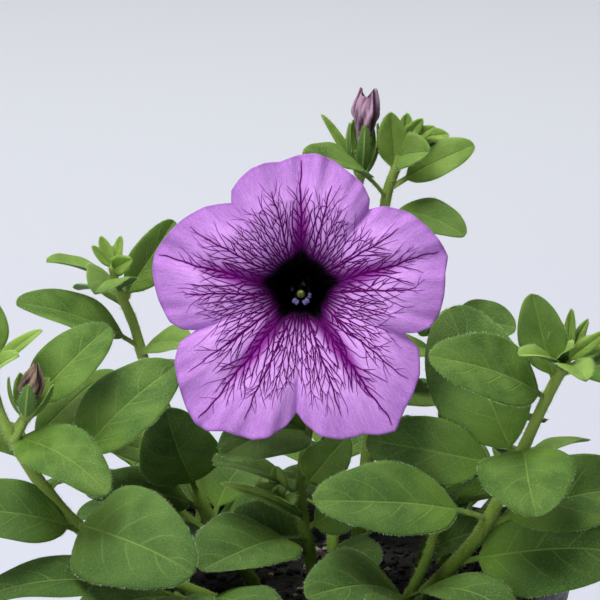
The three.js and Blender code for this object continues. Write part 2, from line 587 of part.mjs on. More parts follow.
// Soil: a plug with the pot's taper and a rough, slightly heaped top.
function soilSolid() {
  const floor = POT_WALL + FIT_GAP;
  const wall = potInnerRadius(SOIL_LEVEL - 2) - FIT_GAP;
  const ring = (radius, height) => Array.from({ length: SOIL_SIDES }, (_, j) => {
    const angle = (j / SOIL_SIDES) * 2 * Math.PI;
    const x = radius * Math.cos(angle);
    const y = radius * Math.sin(angle);
    return new THREE.Vector3(x, y, height ?? soilHeight(x, y));
  });
  const rings = SOIL_RINGS.map((share) => ring(share * wall));
  rings.push(ring(potInnerRadius(floor) - 2 * FIT_GAP, floor));
  const points = [new THREE.Vector3(0, 0, soilHeight(0, 0)), ...rings.flat(), new THREE.Vector3(0, 0, floor)];
  const bottom = points.length - 1;
  const triangles = [];
  for (let j = 0; j < SOIL_SIDES; j++) {
    const next = (j + 1) % SOIL_SIDES;
    triangles.push([0, 1 + j, 1 + next]);
    triangles.push([bottom, bottom - SOIL_SIDES + next, bottom - SOIL_SIDES + j]);
    for (let i = 0; i + 1 < rings.length; i++) {
      const near = 1 + i * SOIL_SIDES;
      const far = near + SOIL_SIDES;
      triangles.push([near + j, far + j, far + next], [near + j, far + next, near + next]);
    }
  }
  let solid = solidFrom(points, triangles);
  for (const shoot of SHOOTS) {
    const { spine, radius } = shoot.stems[0];
    const [[x, y, z], ...rest] = spine;
    solid = solid.subtract(stem([[x, y, z - FIT_GAP], ...rest], radius, FIT_GAP));
  }
  return solid;
}

// The flower's own axes: right, up and towards the one who looks at it.
const FACE_RIGHT = new THREE.Vector3(1, 0, 0);
const FACE_UP = new THREE.Vector3(0, Math.sin(FACE_RISE), Math.cos(FACE_RISE));
const FACE_OUT = new THREE.Vector3(0, -Math.cos(FACE_RISE), Math.sin(FACE_RISE));

function onFlower(right, up, out) {
  return FACE_CENTRE.clone()
    .addScaledVector(FACE_RIGHT, right)
    .addScaledVector(FACE_UP, up)
    .addScaledVector(FACE_OUT, out);
}

// Directions round the flower, each with the reach of the margin there and how near it is to the
// middle of its lobe (1) or to a notch (0).
function flowerRays() {
  const rays = [];
  for (let i = 0; i < LOBES; i++) {
    const before = (i + LOBES - 1) % LOBES;
    const start = NOTCH_ANGLES[before] + (i === 0 ? 360 : 0);
    const halves = [
      [start, NOTCH_REACH[before], LOBE_ANGLES[i]],
      [NOTCH_ANGLES[i], NOTCH_REACH[i], LOBE_ANGLES[i]],
    ];
    halves.forEach(([notch, notchReach, middle], half) => {
      for (let j = 0; j < STEPS_PER_HALF_LOBE; j++) {
        const share = half === 0 ? j / STEPS_PER_HALF_LOBE : 1 - j / STEPS_PER_HALF_LOBE;
        const degrees = notch + (middle - notch) * share;
        const reach = notchReach + (LOBE_REACH[i] - notchReach) * Math.sqrt(1 - (1 - share) ** 4);
        rays.push({ angle: THREE.MathUtils.degToRad(degrees), reach, share });
      }
    });
  }
  return rays;
}

// How far the limb stands before or behind the face: it opens flat from the funnel, dips along the
// middle of each lobe and at the notches, and turns back a little at the margin.
function limbDepth(radius, reach, share) {
  const funnelEdge = FUNNEL.at(-1);
  const opening = funnelEdge[1] * Math.exp(-(radius - funnelEdge[0]) / FLARE);
  const grown = Math.min((radius - funnelEdge[0]) / LIFT_WIDTH, 1);
  const groove = -GROOVE_DEPTH * grown * Math.exp(-(((1 - share) / GROOVE_WIDTH) ** 2));
  const notch = -NOTCH_DIP * grown * (1 - share) ** 6;
  const margin = -MARGIN_FALL * Math.max(0, radius / reach - MARGIN_START) / (1 - MARGIN_START);
  return opening + groove + notch + margin + LIMB_LIFT * grown;
}

function corollaSolid() {
  const rays = flowerRays();
  const funnelEdge = FUNNEL.at(-1)[0];
  const rings = FUNNEL.map(([radius, out]) => rays.map(({ angle }) => (
    new THREE.Vector3(radius * Math.cos(angle), radius * Math.sin(angle), out)
  )));
  for (const limb of LIMB_SHARES) {
    rings.push(rays.map(({ angle, reach, share }) => {
      const radius = funnelEdge + (reach - funnelEdge) * limb;
      const out = limbDepth(radius, reach, share);
      return new THREE.Vector3(radius * Math.cos(angle), radius * Math.sin(angle), out);
    }));
  }
  // The back skin: each point moved out of the tube, or behind the limb, by the petal's thickness.
  const backs = rings.map((ring, i) => ring.map((p, j) => {
    const inner = rings[Math.max(i - 1, 0)][j];
    const outer = rings[Math.min(i + 1, rings.length - 1)][j];
    const along = outer.clone().sub(inner).normalize();
    const around = new THREE.Vector3(-p.y, p.x, 0).normalize();
    return p.clone().addScaledVector(new THREE.Vector3().crossVectors(along, around), -PETAL_THICKNESS);
  }));
  const count = rays.length;
  const skins = [...rings, ...backs.reverse()];
  const floor = new THREE.Vector3(0, 0, FUNNEL[0][1]);
  const underFloor = floor.clone().setZ(floor.z - PETAL_THICKNESS);
  const points = [...skins.flat(), floor, underFloor];
  const floorIn = points.length - 2;
  const floorBack = points.length - 1;
  const last = (skins.length - 1) * count;
  const triangles = [];
  for (let j = 0; j < count; j++) {
    const next = (j + 1) % count;
    triangles.push([floorIn, j, next], [floorBack, last + next, last + j]);
    for (let i = 0; i + 1 < skins.length; i++) {
      const a = i * count + j;
      const b = i * count + next;
      const c = a + count;
      const d = b + count;
      if (i < rings.length) triangles.push([a, c, d], [a, d, b]);
      else triangles.push([a, c, b], [b, c, d]);
    }
  }
  return solidFrom(points.map((p) => onFlower(p.x, p.y, p.z)), triangles);
}

// Stamens: five filaments that rise from one ring round the ovary, each with its anther.
const STAMEN_ANGLES = [-125, -55, -12, 70, 160];
const STAMEN_ENDS = [-6.5, -6.5, -7.5, -9, -9.5];
const RING_INNER = 1.6;
const RING_OUTER = 2.7;
const RING_HEIGHT = 0.8;
const RING_SIDES = 10;
const FILAMENT_CIRCLE = 2.2;
const FILAMENT_RADII = [0.45, 0.4, 0.4];
const BEND_CIRCLE = 2.1;
const BEND_OUT = -18;
const ANTHER_CIRCLE = 2.3;
const ANTHER_STEPS = [-0.9, -0.4, 0.4, 0.9];
const ANTHER_RADII = [0.35, 0.75, 0.75, 0.35];
const STAMEN_SIDES = 4;
const POLLEN_BLUE = 0x8a84b8;

function stamensSolid() {
  const floor = FUNNEL[0][1] + FIT_GAP;
  const ring = new THREE.LatheGeometry([
    new THREE.Vector2(RING_INNER, 0), new THREE.Vector2(RING_OUTER, 0),
    new THREE.Vector2(RING_OUTER, RING_HEIGHT), new THREE.Vector2(RING_INNER, RING_HEIGHT),
    new THREE.Vector2(RING_INNER, 0),
  ], RING_SIDES);
  ring.rotateX(Math.PI / 2);
  const place = ring.getAttribute('position');
  for (let i = 0; i < place.count; i++) {
    const p = onFlower(place.getX(i), place.getY(i), floor + place.getZ(i));
    place.setXYZ(i, p.x, p.y, p.z);
  }
  let solid = solidOf(ring);
  STAMEN_ANGLES.forEach((degrees, i) => {
    const angle = THREE.MathUtils.degToRad(degrees);
    const right = Math.cos(angle);
    const up = Math.sin(angle);
    const end = STAMEN_ENDS[i];
    const at = (radius, out) => onFlower(radius * right, radius * up, out);
    const filament = [at(FILAMENT_CIRCLE, floor + 0.1), at(BEND_CIRCLE, BEND_OUT), at(ANTHER_CIRCLE, end)];
    const anther = ANTHER_STEPS.map((step) => at(ANTHER_CIRCLE, end + step));
    solid = solid.add(bar(filament, FILAMENT_RADII, STAMEN_SIDES));
    solid = solid.add(bar(anther, ANTHER_RADII, STAMEN_SIDES));
  });
  return solid;
}

// Pistil: the ovary on the floor of the tube, its style, and the stigma's small cushion. Each pair is
// a height above that floor and the radius there.
const PISTIL_PROFILE = [
  [0, 0.9], [0.8, 1.2], [2.4, 1], [3.4, 0.4], [21.65, 0.4], [22.65, 0.6], [23.15, 1], [23.85, 0.7],
];
const PISTIL_UP = 0.1;
const PISTIL_SIDES = 8;
const STIGMA_GREEN = 0x5c6a2c;

function pistilSolid() {
  const floor = FUNNEL[0][1] + FIT_GAP;
  const points = PISTIL_PROFILE.map(([height]) => onFlower(0, PISTIL_UP, floor + height));
  return bar(points, PISTIL_PROFILE.map(([, radius]) => radius), PISTIL_SIDES);
}

// Faded flowers: a rolled, shrivelled corolla, twisted, its sides drawn in between five ribs, with a
// horn of tissue standing up at either side of its mouth. The radii follow it from base to mouth.
const FADED_SIDES = 10;
const FADED_TWIST = 0.9;
const FADED_FURROW = 0.72;
const FADED_TOP = {
  base: [7.8, 24.3, 184.6], tip: [9, 24.3, 202.2], radii: [0.8, 0.9, 1.4, 2.4, 3, 2], horn: 1.9,
};
const FADED_LEFT = {
  base: [-71.3, -28.5, 137.3], tip: [-69.3, -28.5, 148], radii: [0.8, 1.5, 2.4, 2.6, 1.9, 0.8], horn: 0.5,
};
const FADED_MAUVE = 0x6f566a;
const FADED_BROWN = 0x5f5845;

function fadedSolid({ base, tip, radii, horn }) {
  const from = vector(base);
  const to = vector(tip);
  const axis = to.clone().sub(from).normalize();
  const side = new THREE.Vector3().crossVectors(axis, new THREE.Vector3(0, 1, 0.1)).normalize();
  const other = new THREE.Vector3().crossVectors(axis, side);
  const rings = radii.map((radius, i) => {
    const share = i / (radii.length - 1);
    const centre = from.clone().lerp(to, share);
    return Array.from({ length: FADED_SIDES }, (_, j) => {
      const angle = (j / FADED_SIDES) * 2 * Math.PI + share * FADED_TWIST;
      const ribbed = radius * (j % 2 ? FADED_FURROW : 1);
      const lean = Math.cos(angle) * horn * share ** 6;
      return centre.clone()
        .addScaledVector(side, ribbed * Math.cos(angle))
        .addScaledVector(other, ribbed * Math.sin(angle))
        .addScaledVector(axis, Math.abs(lean));
    });
  });
  return loft(rings);
}

function meshOf(name, solid, color, roughness) {
  const { vertProperties, triVerts } = solid.getMesh();
  const geometry = new THREE.BufferGeometry();
  geometry.setAttribute('position', new THREE.BufferAttribute(vertProperties, 3));
  geometry.setIndex(new THREE.BufferAttribute(triVerts, 1));
  geometry.computeVertexNormals();
  const material = new THREE.MeshStandardMaterial({ color, roughness, metalness: 0 });
  const mesh = new THREE.Mesh(geometry, material);
  mesh.name = name;
  return mesh;
}

const petunia = new THREE.Group();
petunia.name = 'potted_petunia';

const container = new THREE.Group();
container.add(meshOf('pot', potSolid(), POT_BLACK, 0.55));
container.add(meshOf('soil', soilSolid(), SOIL_BROWN, 1));
petunia.add(container);

const foliage = new THREE.Group();
for (const shoot of SHOOTS) foliage.add(meshOf(shoot.name, shootSolid(shoot), LEAF_GREEN, 0.7));
petunia.add(foliage);

const flower = new THREE.Group();
flower.add(meshOf('corolla', corollaSolid(), LILAC, 0.6));
flower.add(meshOf('stamens', stamensSolid(), POLLEN_BLUE, 0.6));
flower.add(meshOf('pistil', pistilSolid(), STIGMA_GREEN, 0.4));
petunia.add(flower);

const faded = new THREE.Group();
faded.add(meshOf('faded_flower_top', fadedSolid(FADED_TOP), FADED_MAUVE, 0.8));
faded.add(meshOf('faded_flower_left', fadedSolid(FADED_LEFT), FADED_BROWN, 0.9));
petunia.add(faded);

export default petunia;
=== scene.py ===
import math

import bpy
import numpy as np
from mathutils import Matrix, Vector, kdtree


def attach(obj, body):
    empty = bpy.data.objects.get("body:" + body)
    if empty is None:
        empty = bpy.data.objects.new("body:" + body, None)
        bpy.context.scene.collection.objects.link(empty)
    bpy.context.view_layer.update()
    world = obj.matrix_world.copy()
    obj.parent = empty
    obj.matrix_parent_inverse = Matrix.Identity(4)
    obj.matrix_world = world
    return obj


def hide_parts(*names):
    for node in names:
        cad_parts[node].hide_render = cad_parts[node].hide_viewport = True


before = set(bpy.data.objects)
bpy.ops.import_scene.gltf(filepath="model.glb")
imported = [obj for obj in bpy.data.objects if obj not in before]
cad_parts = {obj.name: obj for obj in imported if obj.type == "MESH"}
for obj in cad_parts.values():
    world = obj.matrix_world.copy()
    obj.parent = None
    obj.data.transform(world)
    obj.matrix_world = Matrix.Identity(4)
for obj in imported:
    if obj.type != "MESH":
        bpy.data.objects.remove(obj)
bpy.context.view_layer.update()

MM = 0.001

# The stand: a wide pale table top that rises far off all round the plant, three soft lamps and a dim room.
# The camera looks down by 13 degrees from a little over a metre, through a long lens.
CAMERA_TARGET = Vector((-7.2, 0, 157)) * MM
CAMERA_DISTANCE = 1.2
CAMERA_RISE = math.radians(13)
VIEW_WIDTH = 0.144
SENSOR = 36
ROOM_LIGHT = 0.13


def paint(red, green, blue):
    """A judged colour, each part from 0 to 255, as the linear colour that the shaders take."""
    linear = [((c / 255 + 0.055) / 1.055) ** 2.4 for c in (red, green, blue)]
    return (*linear, 1)


def new_material(name, **sockets):
    """A material whose shader has these constants on its own sockets. Returns it and its shader."""
    material = bpy.data.materials.new(name)
    material.use_nodes = True
    shader = material.node_tree.nodes["Principled BSDF"]
    for socket, value in sockets.items():
        shader.inputs[socket.replace("_", " ")].default_value = value
    return material, shader


def wire(material, value, socket):
    """Puts a constant on a socket, or links another node's output to it."""
    if isinstance(value, bpy.types.NodeSocket):
        material.node_tree.links.new(value, socket)
    elif value is not None:
        socket.default_value = value


def calc(material, operation, a, b=None, c=None):
    node = material.node_tree.nodes.new("ShaderNodeMath")
    node.operation = operation
    for value, socket in zip((a, b, c), node.inputs):
        wire(material, value, socket)
    return node.outputs[0]


def blend(material, factor, first, second):
    """The first colour, with the second one over it by the factor."""
    node = material.node_tree.nodes.new("ShaderNodeMix")
    node.data_type = "RGBA"
    node.clamp_factor = True
    for value, index in ((factor, 0), (first, 6), (second, 7)):
        wire(material, value, node.inputs[index])
    return node.outputs[2]


def ramp(material, value, low, high, to_low=0, to_high=1):
    """Value carried smoothly from the span low..high to to_low..to_high."""
    node = material.node_tree.nodes.new("ShaderNodeMapRange")
    node.interpolation_type = "SMOOTHSTEP"
    for given, index in ((value, 0), (low, 1), (high, 2), (to_low, 3), (to_high, 4)):
        wire(material, given, node.inputs[index])
    return node.outputs[0]


def attribute(material, name):
    """The three parts of a vector that the mesh keeps at its points, and the vector itself."""
    read = material.node_tree.nodes.new("ShaderNodeAttribute")
    read.attribute_name = name
    split = material.node_tree.nodes.new("ShaderNodeSeparateXYZ")
    wire(material, read.outputs["Vector"], split.inputs[0])
    return (*split.outputs, read.outputs["Vector"])


def object_place(material):
    return material.node_tree.nodes.new("ShaderNodeTexCoord").outputs["Object"]


def place_parts(material):
    """How far a point lies to the right, to the back and up in the object, in metres."""
    split = material.node_tree.nodes.new("ShaderNodeSeparateXYZ")
    wire(material, object_place(material), split.inputs[0])
    return split.outputs


def stretched(material, place, scale):
    node = material.node_tree.nodes.new("ShaderNodeMapping")
    wire(material, place, node.inputs["Vector"])
    node.inputs["Scale"].default_value = scale
    return node.outputs[0]


def grain(material, place, scale, detail=3, roughness=0.5):
    """Cloudy noise from 0 to 1, with scale patches to one unit of the place."""
    node = material.node_tree.nodes.new("ShaderNodeTexNoise")
    wire(material, place, node.inputs["Vector"])
    node.inputs["Scale"].default_value = scale
    node.inputs["Detail"].default_value = detail
    node.inputs["Roughness"].default_value = roughness
    return node.outputs["Fac"]


def relief(material, shader, height, depth):
    """Height, from 0 to 1, felt in the surface as relief of that depth in metres."""
    node = material.node_tree.nodes.new("ShaderNodeBump")
    node.inputs["Strength"].default_value = 1
    node.inputs["Distance"].default_value = depth
    wire(material, height, node.inputs["Height"])
    wire(material, node.outputs[0], shader.inputs["Normal"])


def select_none():
    bpy.ops.object.select_all(action="DESELECT")


def placed(name, data):
    """A new object in the scene with that data."""
    made = bpy.data.objects.new(name, data)
    bpy.context.scene.collection.objects.link(made)
    return made


def tidy_object(name):
    """Names the active object and its mesh, and puts its place into the mesh."""
    made = bpy.context.active_object
    made.name = name
    made.data.name = name
    select_none()
    made.select_set(True)
    bpy.ops.object.transform_apply(location=True, rotation=True, scale=True)
    return made


def points_of(mesh):
    flat = np.empty(3 * len(mesh.vertices), np.float32)
    mesh.vertices.foreach_get("co", flat)
    return flat.reshape(-1, 3).astype(float)


def keep_at_points(mesh, name, values):
    """Three numbers for each point of the mesh, which its finish reads by that name."""
    kept = mesh.attributes.new(name, "FLOAT_VECTOR", "POINT")
    kept.data.foreach_set("vector", np.asarray(values, np.float32).ravel())


def move_points(mesh, points):
    mesh.vertices.foreach_set("co", np.asarray(points, np.float32).ravel())
    mesh.update()


camera = bpy.data.cameras.new("camera")
camera.sensor_fit = "HORIZONTAL"
camera.sensor_width = SENSOR
camera.lens = SENSOR * CAMERA_DISTANCE / VIEW_WIDTH
camera.clip_end = 20
viewer = placed("camera", camera)
toward_viewer = Vector((0, -math.cos(CAMERA_RISE), math.sin(CAMERA_RISE)))
viewer.location = CAMERA_TARGET + CAMERA_DISTANCE * toward_viewer
viewer.rotation_euler = (math.pi / 2 - CAMERA_RISE, 0, 0)
bpy.context.scene.camera = viewer
bpy.context.scene.view_settings.view_transform = "Standard"

for name, place, aim, size, power in (
    ("lamp_above", (-0.35, -0.55, 1.7), (0, 0, 0.15), 0.9, 37),
    ("lamp_behind", (-0.2, 1.0, 2.0), (-0.2, 0.9, 0), 1.6, 28),
    ("lamp_front", (-0.9, -1.3, 0.5), (0, 0, 0.15), 0.9, 11.5),
):
    lamp = bpy.data.lights.new(name, "AREA")
    lamp.size = size
    lamp.energy = power
    holder = placed(name, lamp)
    holder.location = place
    holder.rotation_euler = (Vector(aim) - Vector(place)).to_track_quat("-Z", "Y").to_euler()

room = bpy.data.worlds.new("room")
room.use_nodes = True
room.node_tree.nodes["Background"].inputs["Color"].default_value = paint(226, 230, 240)
room.node_tree.nodes["Background"].inputs["Strength"].default_value = ROOM_LIGHT
bpy.context.scene.world = room

TABLE_SIZE = 14
TABLE_CELLS = 96
TABLE_DROP = 0.0002
RISE_START = 3
RISE_RATE = 0.35
select_none()
bpy.ops.mesh.primitive_grid_add(x_subdivisions=TABLE_CELLS, y_subdivisions=TABLE_CELLS, size=TABLE_SIZE)
table = tidy_object("table_top")
spots = points_of(table.data)
past = np.maximum(np.hypot(spots[:, 0], spots[:, 1]) - RISE_START, 0)
spots[:, 2] = RISE_RATE * past ** 2 - TABLE_DROP
move_points(table.data, spots)
table.data.shade_smooth()
table_paint, shader = new_material("table_paint", Roughness=0.9)
# The table is painted darker at the front and lighter towards the back: a painted gradient of light.
_, away, _ = place_parts(table_paint)
wire(table_paint, blend(table_paint, ramp(table_paint, away, 0.1, 1.4), paint(186, 188, 200),
                        paint(215, 218, 223)), shader.inputs["Base Color"])
table.data.materials.append(table_paint)

# The pot: a 12 cm growing pot, thin black plastic blown in one piece, with a stiff turned lip and eight
# drainage holes in its floor. Its wall is open at the top and keeps fine rings from the mould.
POT_HEIGHT = 93
POT_RIM_RADIUS = 59.5
POT_BASE_RADIUS = 42
POT_WALL = 1.4
POT_LIP_DEPTH = 9
POT_LIP_OVERHANG = 2
DRAIN_HOLES = 8
DRAIN_RADIUS = 4
DRAIN_CIRCLE = 31
POT_STEPS = 96


def pot_inner_radius(z):
    inside = POT_BASE_RADIUS - POT_WALL
    rim = POT_RIM_RADIUS - POT_LIP_OVERHANG - POT_WALL
    return inside + (rim - inside) * (z - POT_WALL) / (POT_HEIGHT - POT_WALL)


def spun(name, profile, steps):
    """A closed body from its half section, (radius, height) in mm, spun round the upright axis."""
    select_none()
    bpy.ops.mesh.primitive_circle_add(vertices=len(profile))
    body = tidy_object(name)
    outline = [(r * MM, 0, z * MM) for r, z in profile]
    order = [v.index for v in body.data.vertices]
    move_points(body.data, [outline[i] for i in order])
    bpy.ops.object.mode_set(mode="EDIT")
    bpy.ops.mesh.select_all(action="SELECT")
    bpy.ops.mesh.spin(steps=steps, angle=2 * math.pi, center=(0, 0, 0), axis=(0, 0, 1))
    bpy.ops.mesh.select_all(action="SELECT")
    bpy.ops.mesh.remove_doubles(threshold=1e-6)
    bpy.ops.mesh.dissolve_degenerate(threshold=1e-6)
    bpy.ops.mesh.select_all(action="SELECT")
    bpy.ops.mesh.normals_make_consistent(inside=False)
    bpy.ops.object.mode_set(mode="OBJECT")
    return body


def bore(body, middle, radius, depth, sides):
    """Cuts a plain upright hole of that size in mm, with its middle at that place."""
    select_none()
    bpy.ops.mesh.primitive_cylinder_add(
        vertices=sides, radius=radius * MM, depth=depth * MM, location=[MM * step for step in middle])
    drill = bpy.context.active_object
    bpy.context.view_layer.objects.active = body
    cut = body.modifiers.new("hole", "BOOLEAN")
    cut.operation = "DIFFERENCE"
    cut.object = drill
    bpy.ops.object.modifier_apply(modifier=cut.name)
    bpy.data.objects.remove(drill)


lip_foot = POT_HEIGHT - POT_LIP_DEPTH
wall_top = pot_inner_radius(lip_foot) + POT_WALL
inner_top = pot_inner_radius(POT_HEIGHT)
pot = spun("growing_pot", [
    (0, 0.8), (30, 0.8), (32, 0), (POT_BASE_RADIUS - 1.2, 0), (POT_BASE_RADIUS - 0.35, 0.35),
    (POT_BASE_RADIUS, 1.2), (POT_BASE_RADIUS + 3.3, 20), (wall_top, lip_foot),
    (wall_top + 0.6, lip_foot + 0.3), (wall_top + POT_LIP_OVERHANG - 0.2, lip_foot + 0.3),
    (wall_top + POT_LIP_OVERHANG, lip_foot + 0.7), (POT_RIM_RADIUS, POT_HEIGHT - 0.8),
    (POT_RIM_RADIUS - 0.25, POT_HEIGHT - 0.2), (POT_RIM_RADIUS - 0.9, POT_HEIGHT),
    (inner_top + 0.6, POT_HEIGHT), (inner_top + 0.1, POT_HEIGHT - 0.3),
    (pot_inner_radius(POT_HEIGHT - 1), POT_HEIGHT - 1), (pot_inner_radius(40), 40),
    (pot_inner_radius(POT_WALL + 1), POT_WALL + 1), (pot_inner_radius(POT_WALL) - 1, POT_WALL + 0.1),
    (0, POT_WALL + 0.1),
], POT_STEPS)
for i in range(DRAIN_HOLES):
    angle = 2 * math.pi * (i + 0.5) / DRAIN_HOLES
    bore(pot, (DRAIN_CIRCLE * math.cos(angle), DRAIN_CIRCLE * math.sin(angle), 0), DRAIN_RADIUS, 6, 24)
select_none()
pot.select_set(True)
bpy.ops.object.shade_smooth_by_angle(angle=math.radians(32))

pot_plastic, shader = new_material("pot_plastic", Roughness=0.5, Specular_IOR_Level=0.4)
place = object_place(pot_plastic)
dust = ramp(pot_plastic, grain(pot_plastic, place, 90, 6), 0.5, 0.75)
rings = grain(pot_plastic, stretched(pot_plastic, place, (20, 20, 900)), 1, 2)
scuffs = grain(pot_plastic, place, 700, 4)
wire(pot_plastic, blend(pot_plastic, calc(pot_plastic, "MULTIPLY", dust, 0.5), paint(16, 17, 19),
                        paint(48, 44, 40)), shader.inputs["Base Color"])
wire(pot_plastic, ramp(pot_plastic, scuffs, 0.3, 0.7, 0.42, 0.68), shader.inputs["Roughness"])
relief(pot_plastic, shader, calc(pot_plastic, "MULTIPLY_ADD", scuffs, 0.4, rings), 0.0002)
pot.data.materials.append(pot_plastic)
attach(pot, "root")
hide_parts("pot")

# The soil: peat with bark crumbs and a little white perlite. It fills the pot to 11 mm below the rim, a
# bit higher in the middle, and each shoot comes up through a plain hole in it.
SOIL_LEVEL = 82
SOIL_MOUND = 2.5
SOIL_FLOOR = 1.75
FIT_GAP = 0.35
BURIED_TO = 68
SOIL_CELLS = 90
SOIL_DEPTH = 0.08
CRUMBS = 900
PERLITE_EVERY = 12
chance = np.random.default_rng(7)


def soil_height(x, y):
    share = np.hypot(x, y) / pot_inner_radius(SOIL_LEVEL)
    lumps = np.sin(0.31 * x + 1.7) * np.sin(0.37 * y + 0.4) + np.sin(0.53 * x - 0.47 * y)
    return SOIL_LEVEL + SOIL_MOUND * (1 - share ** 2) + 0.4 * lumps


select_none()
bpy.ops.mesh.primitive_grid_add(x_subdivisions=SOIL_CELLS, y_subdivisions=SOIL_CELLS, size=2)
soil = tidy_object("potting_soil")
x, y, _ = points_of(soil.data).T
soil_radius = pot_inner_radius(SOIL_LEVEL - 2) - FIT_GAP
disc_x = soil_radius * x * np.sqrt(1 - y ** 2 / 2)
disc_y = soil_radius * y * np.sqrt(1 - x ** 2 / 2)
rough = chance.normal(0, 0.16, len(x)) * (np.hypot(disc_x, disc_y) < soil_radius - 1)
move_points(soil.data, np.stack([disc_x, disc_y, soil_height(disc_x, disc_y) + rough], 1) * MM)
bpy.ops.object.mode_set(mode="EDIT")
bpy.ops.mesh.select_all(action="SELECT")
bpy.ops.mesh.region_to_loop()
bpy.ops.mesh.extrude_region_move(TRANSFORM_OT_translate={"value": (0, 0, -SOIL_DEPTH)})
bpy.ops.mesh.edge_face_add()
bpy.ops.mesh.select_all(action="SELECT")
bpy.ops.mesh.normals_make_consistent(inside=False)
bpy.ops.object.mode_set(mode="OBJECT")
spots = points_of(soil.data)
foot = spots[:, 2] < 0.04
squeeze = (pot_inner_radius(SOIL_FLOOR) - FIT_GAP - 0.3) / soil_radius
spots[foot] *= (squeeze, squeeze, 0)
spots[foot, 2] = SOIL_FLOOR * MM
move_points(soil.data, spots)
SHOOT_FEET = [(20, -12), (-22, -18), (-18, 6), (6, 14), (21, 6), (-3, -6), (-24, -32), (14, -30), (-24, 26),
              (28, 28), (1, 38)]
STEM_HOLE = 2.6
for foot_x, foot_y in SHOOT_FEET:
    bore(soil, (foot_x, foot_y, BURIED_TO + 11.6), STEM_HOLE, 24, 12)


def merged(name, solids):
    """One mesh object of many small closed solids, each a pair of points and faces."""
    faces, start = [], 0
    for spots, corners in solids:
        faces += [[start + corner for corner in face] for face in corners]
        start += len(spots)
    mesh = bpy.data.meshes.new(name)
    mesh.from_pydata(np.concatenate([spots for spots, _ in solids]).tolist(), [], faces)
    return placed(name, mesh)


def blank_of(made):
    """The points and faces of a blank, which is then removed; the copies are made from these."""
    spots = points_of(made.data)
    corners = [list(face.vertices) for face in made.data.polygons]
    bpy.data.objects.remove(made)
    return spots, corners


select_none()
bpy.ops.mesh.primitive_ico_sphere_add(subdivisions=1, radius=1)
crumb_spots, crumb_corners = blank_of(bpy.context.active_object)
lumps, whites = [], []
for i in range(CRUMBS):
    angle = chance.uniform(0, 2 * math.pi)
    out = (soil_radius - 2) * math.sqrt(chance.uniform())
    at = np.array((out * math.cos(angle), out * math.sin(angle)))
    size = chance.uniform(0.35, 1.3) if i % PERLITE_EVERY else chance.uniform(0.7, 1.4)
    shape = crumb_spots * size * chance.uniform(0.6, 1.25, 3) * chance.uniform(0.8, 1.2, crumb_spots.shape)
    shape = shape + (*at, soil_height(*at) + 0.25 * size)
    if min(np.hypot(*(at - foot)) for foot in SHOOT_FEET) < STEM_HOLE + size * 1.5:
        continue
    (lumps if i % PERLITE_EVERY else whites).append((shape * MM, crumb_corners))
crumbs = merged("soil_crumbs", lumps)
perlite = merged("perlite", whites)

peat, shader = new_material("peat", Roughness=0.95)
place = object_place(peat)
fibre = grain(peat, place, 900, 5, 0.7)
shade = blend(peat, ramp(peat, fibre, 0.35, 0.65), paint(5, 3, 2), paint(20, 14, 9))
wire(peat, blend(peat, ramp(peat, grain(peat, place, 200, 4), 0.55, 0.7), shade, paint(32, 23, 16)),
     shader.inputs["Base Color"])
relief(peat, shader, fibre, 0.0008)
perlite_stone, shader = new_material("perlite_stone", Roughness=0.9)
wire(perlite_stone, blend(perlite_stone, grain(perlite_stone, object_place(perlite_stone), 1500, 4),
                          paint(84, 78, 68), paint(140, 134, 122)), shader.inputs["Base Color"])
for piece, finish in ((soil, peat), (crumbs, peat), (perlite, perlite_stone)):
    piece.data.materials.append(finish)
    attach(piece, "root")
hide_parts("soil")

# The leafy shoots. Each grew as one piece: a soft round stem, leaves on short stalks that fold up along a
# sunken midrib, and a cup of five sepals under a flower, all in fine sticky hairs. A leaf is its place on the
# stem, tip, width, the way its upper face looks, arch, fold, and its stalk's share where that is unusual.
STALK_SHARE = 0.17
STALK_HALF = 0.75
BLADE_HALF_THICKNESS = 0.2
SIDE_VEINS = 4.6

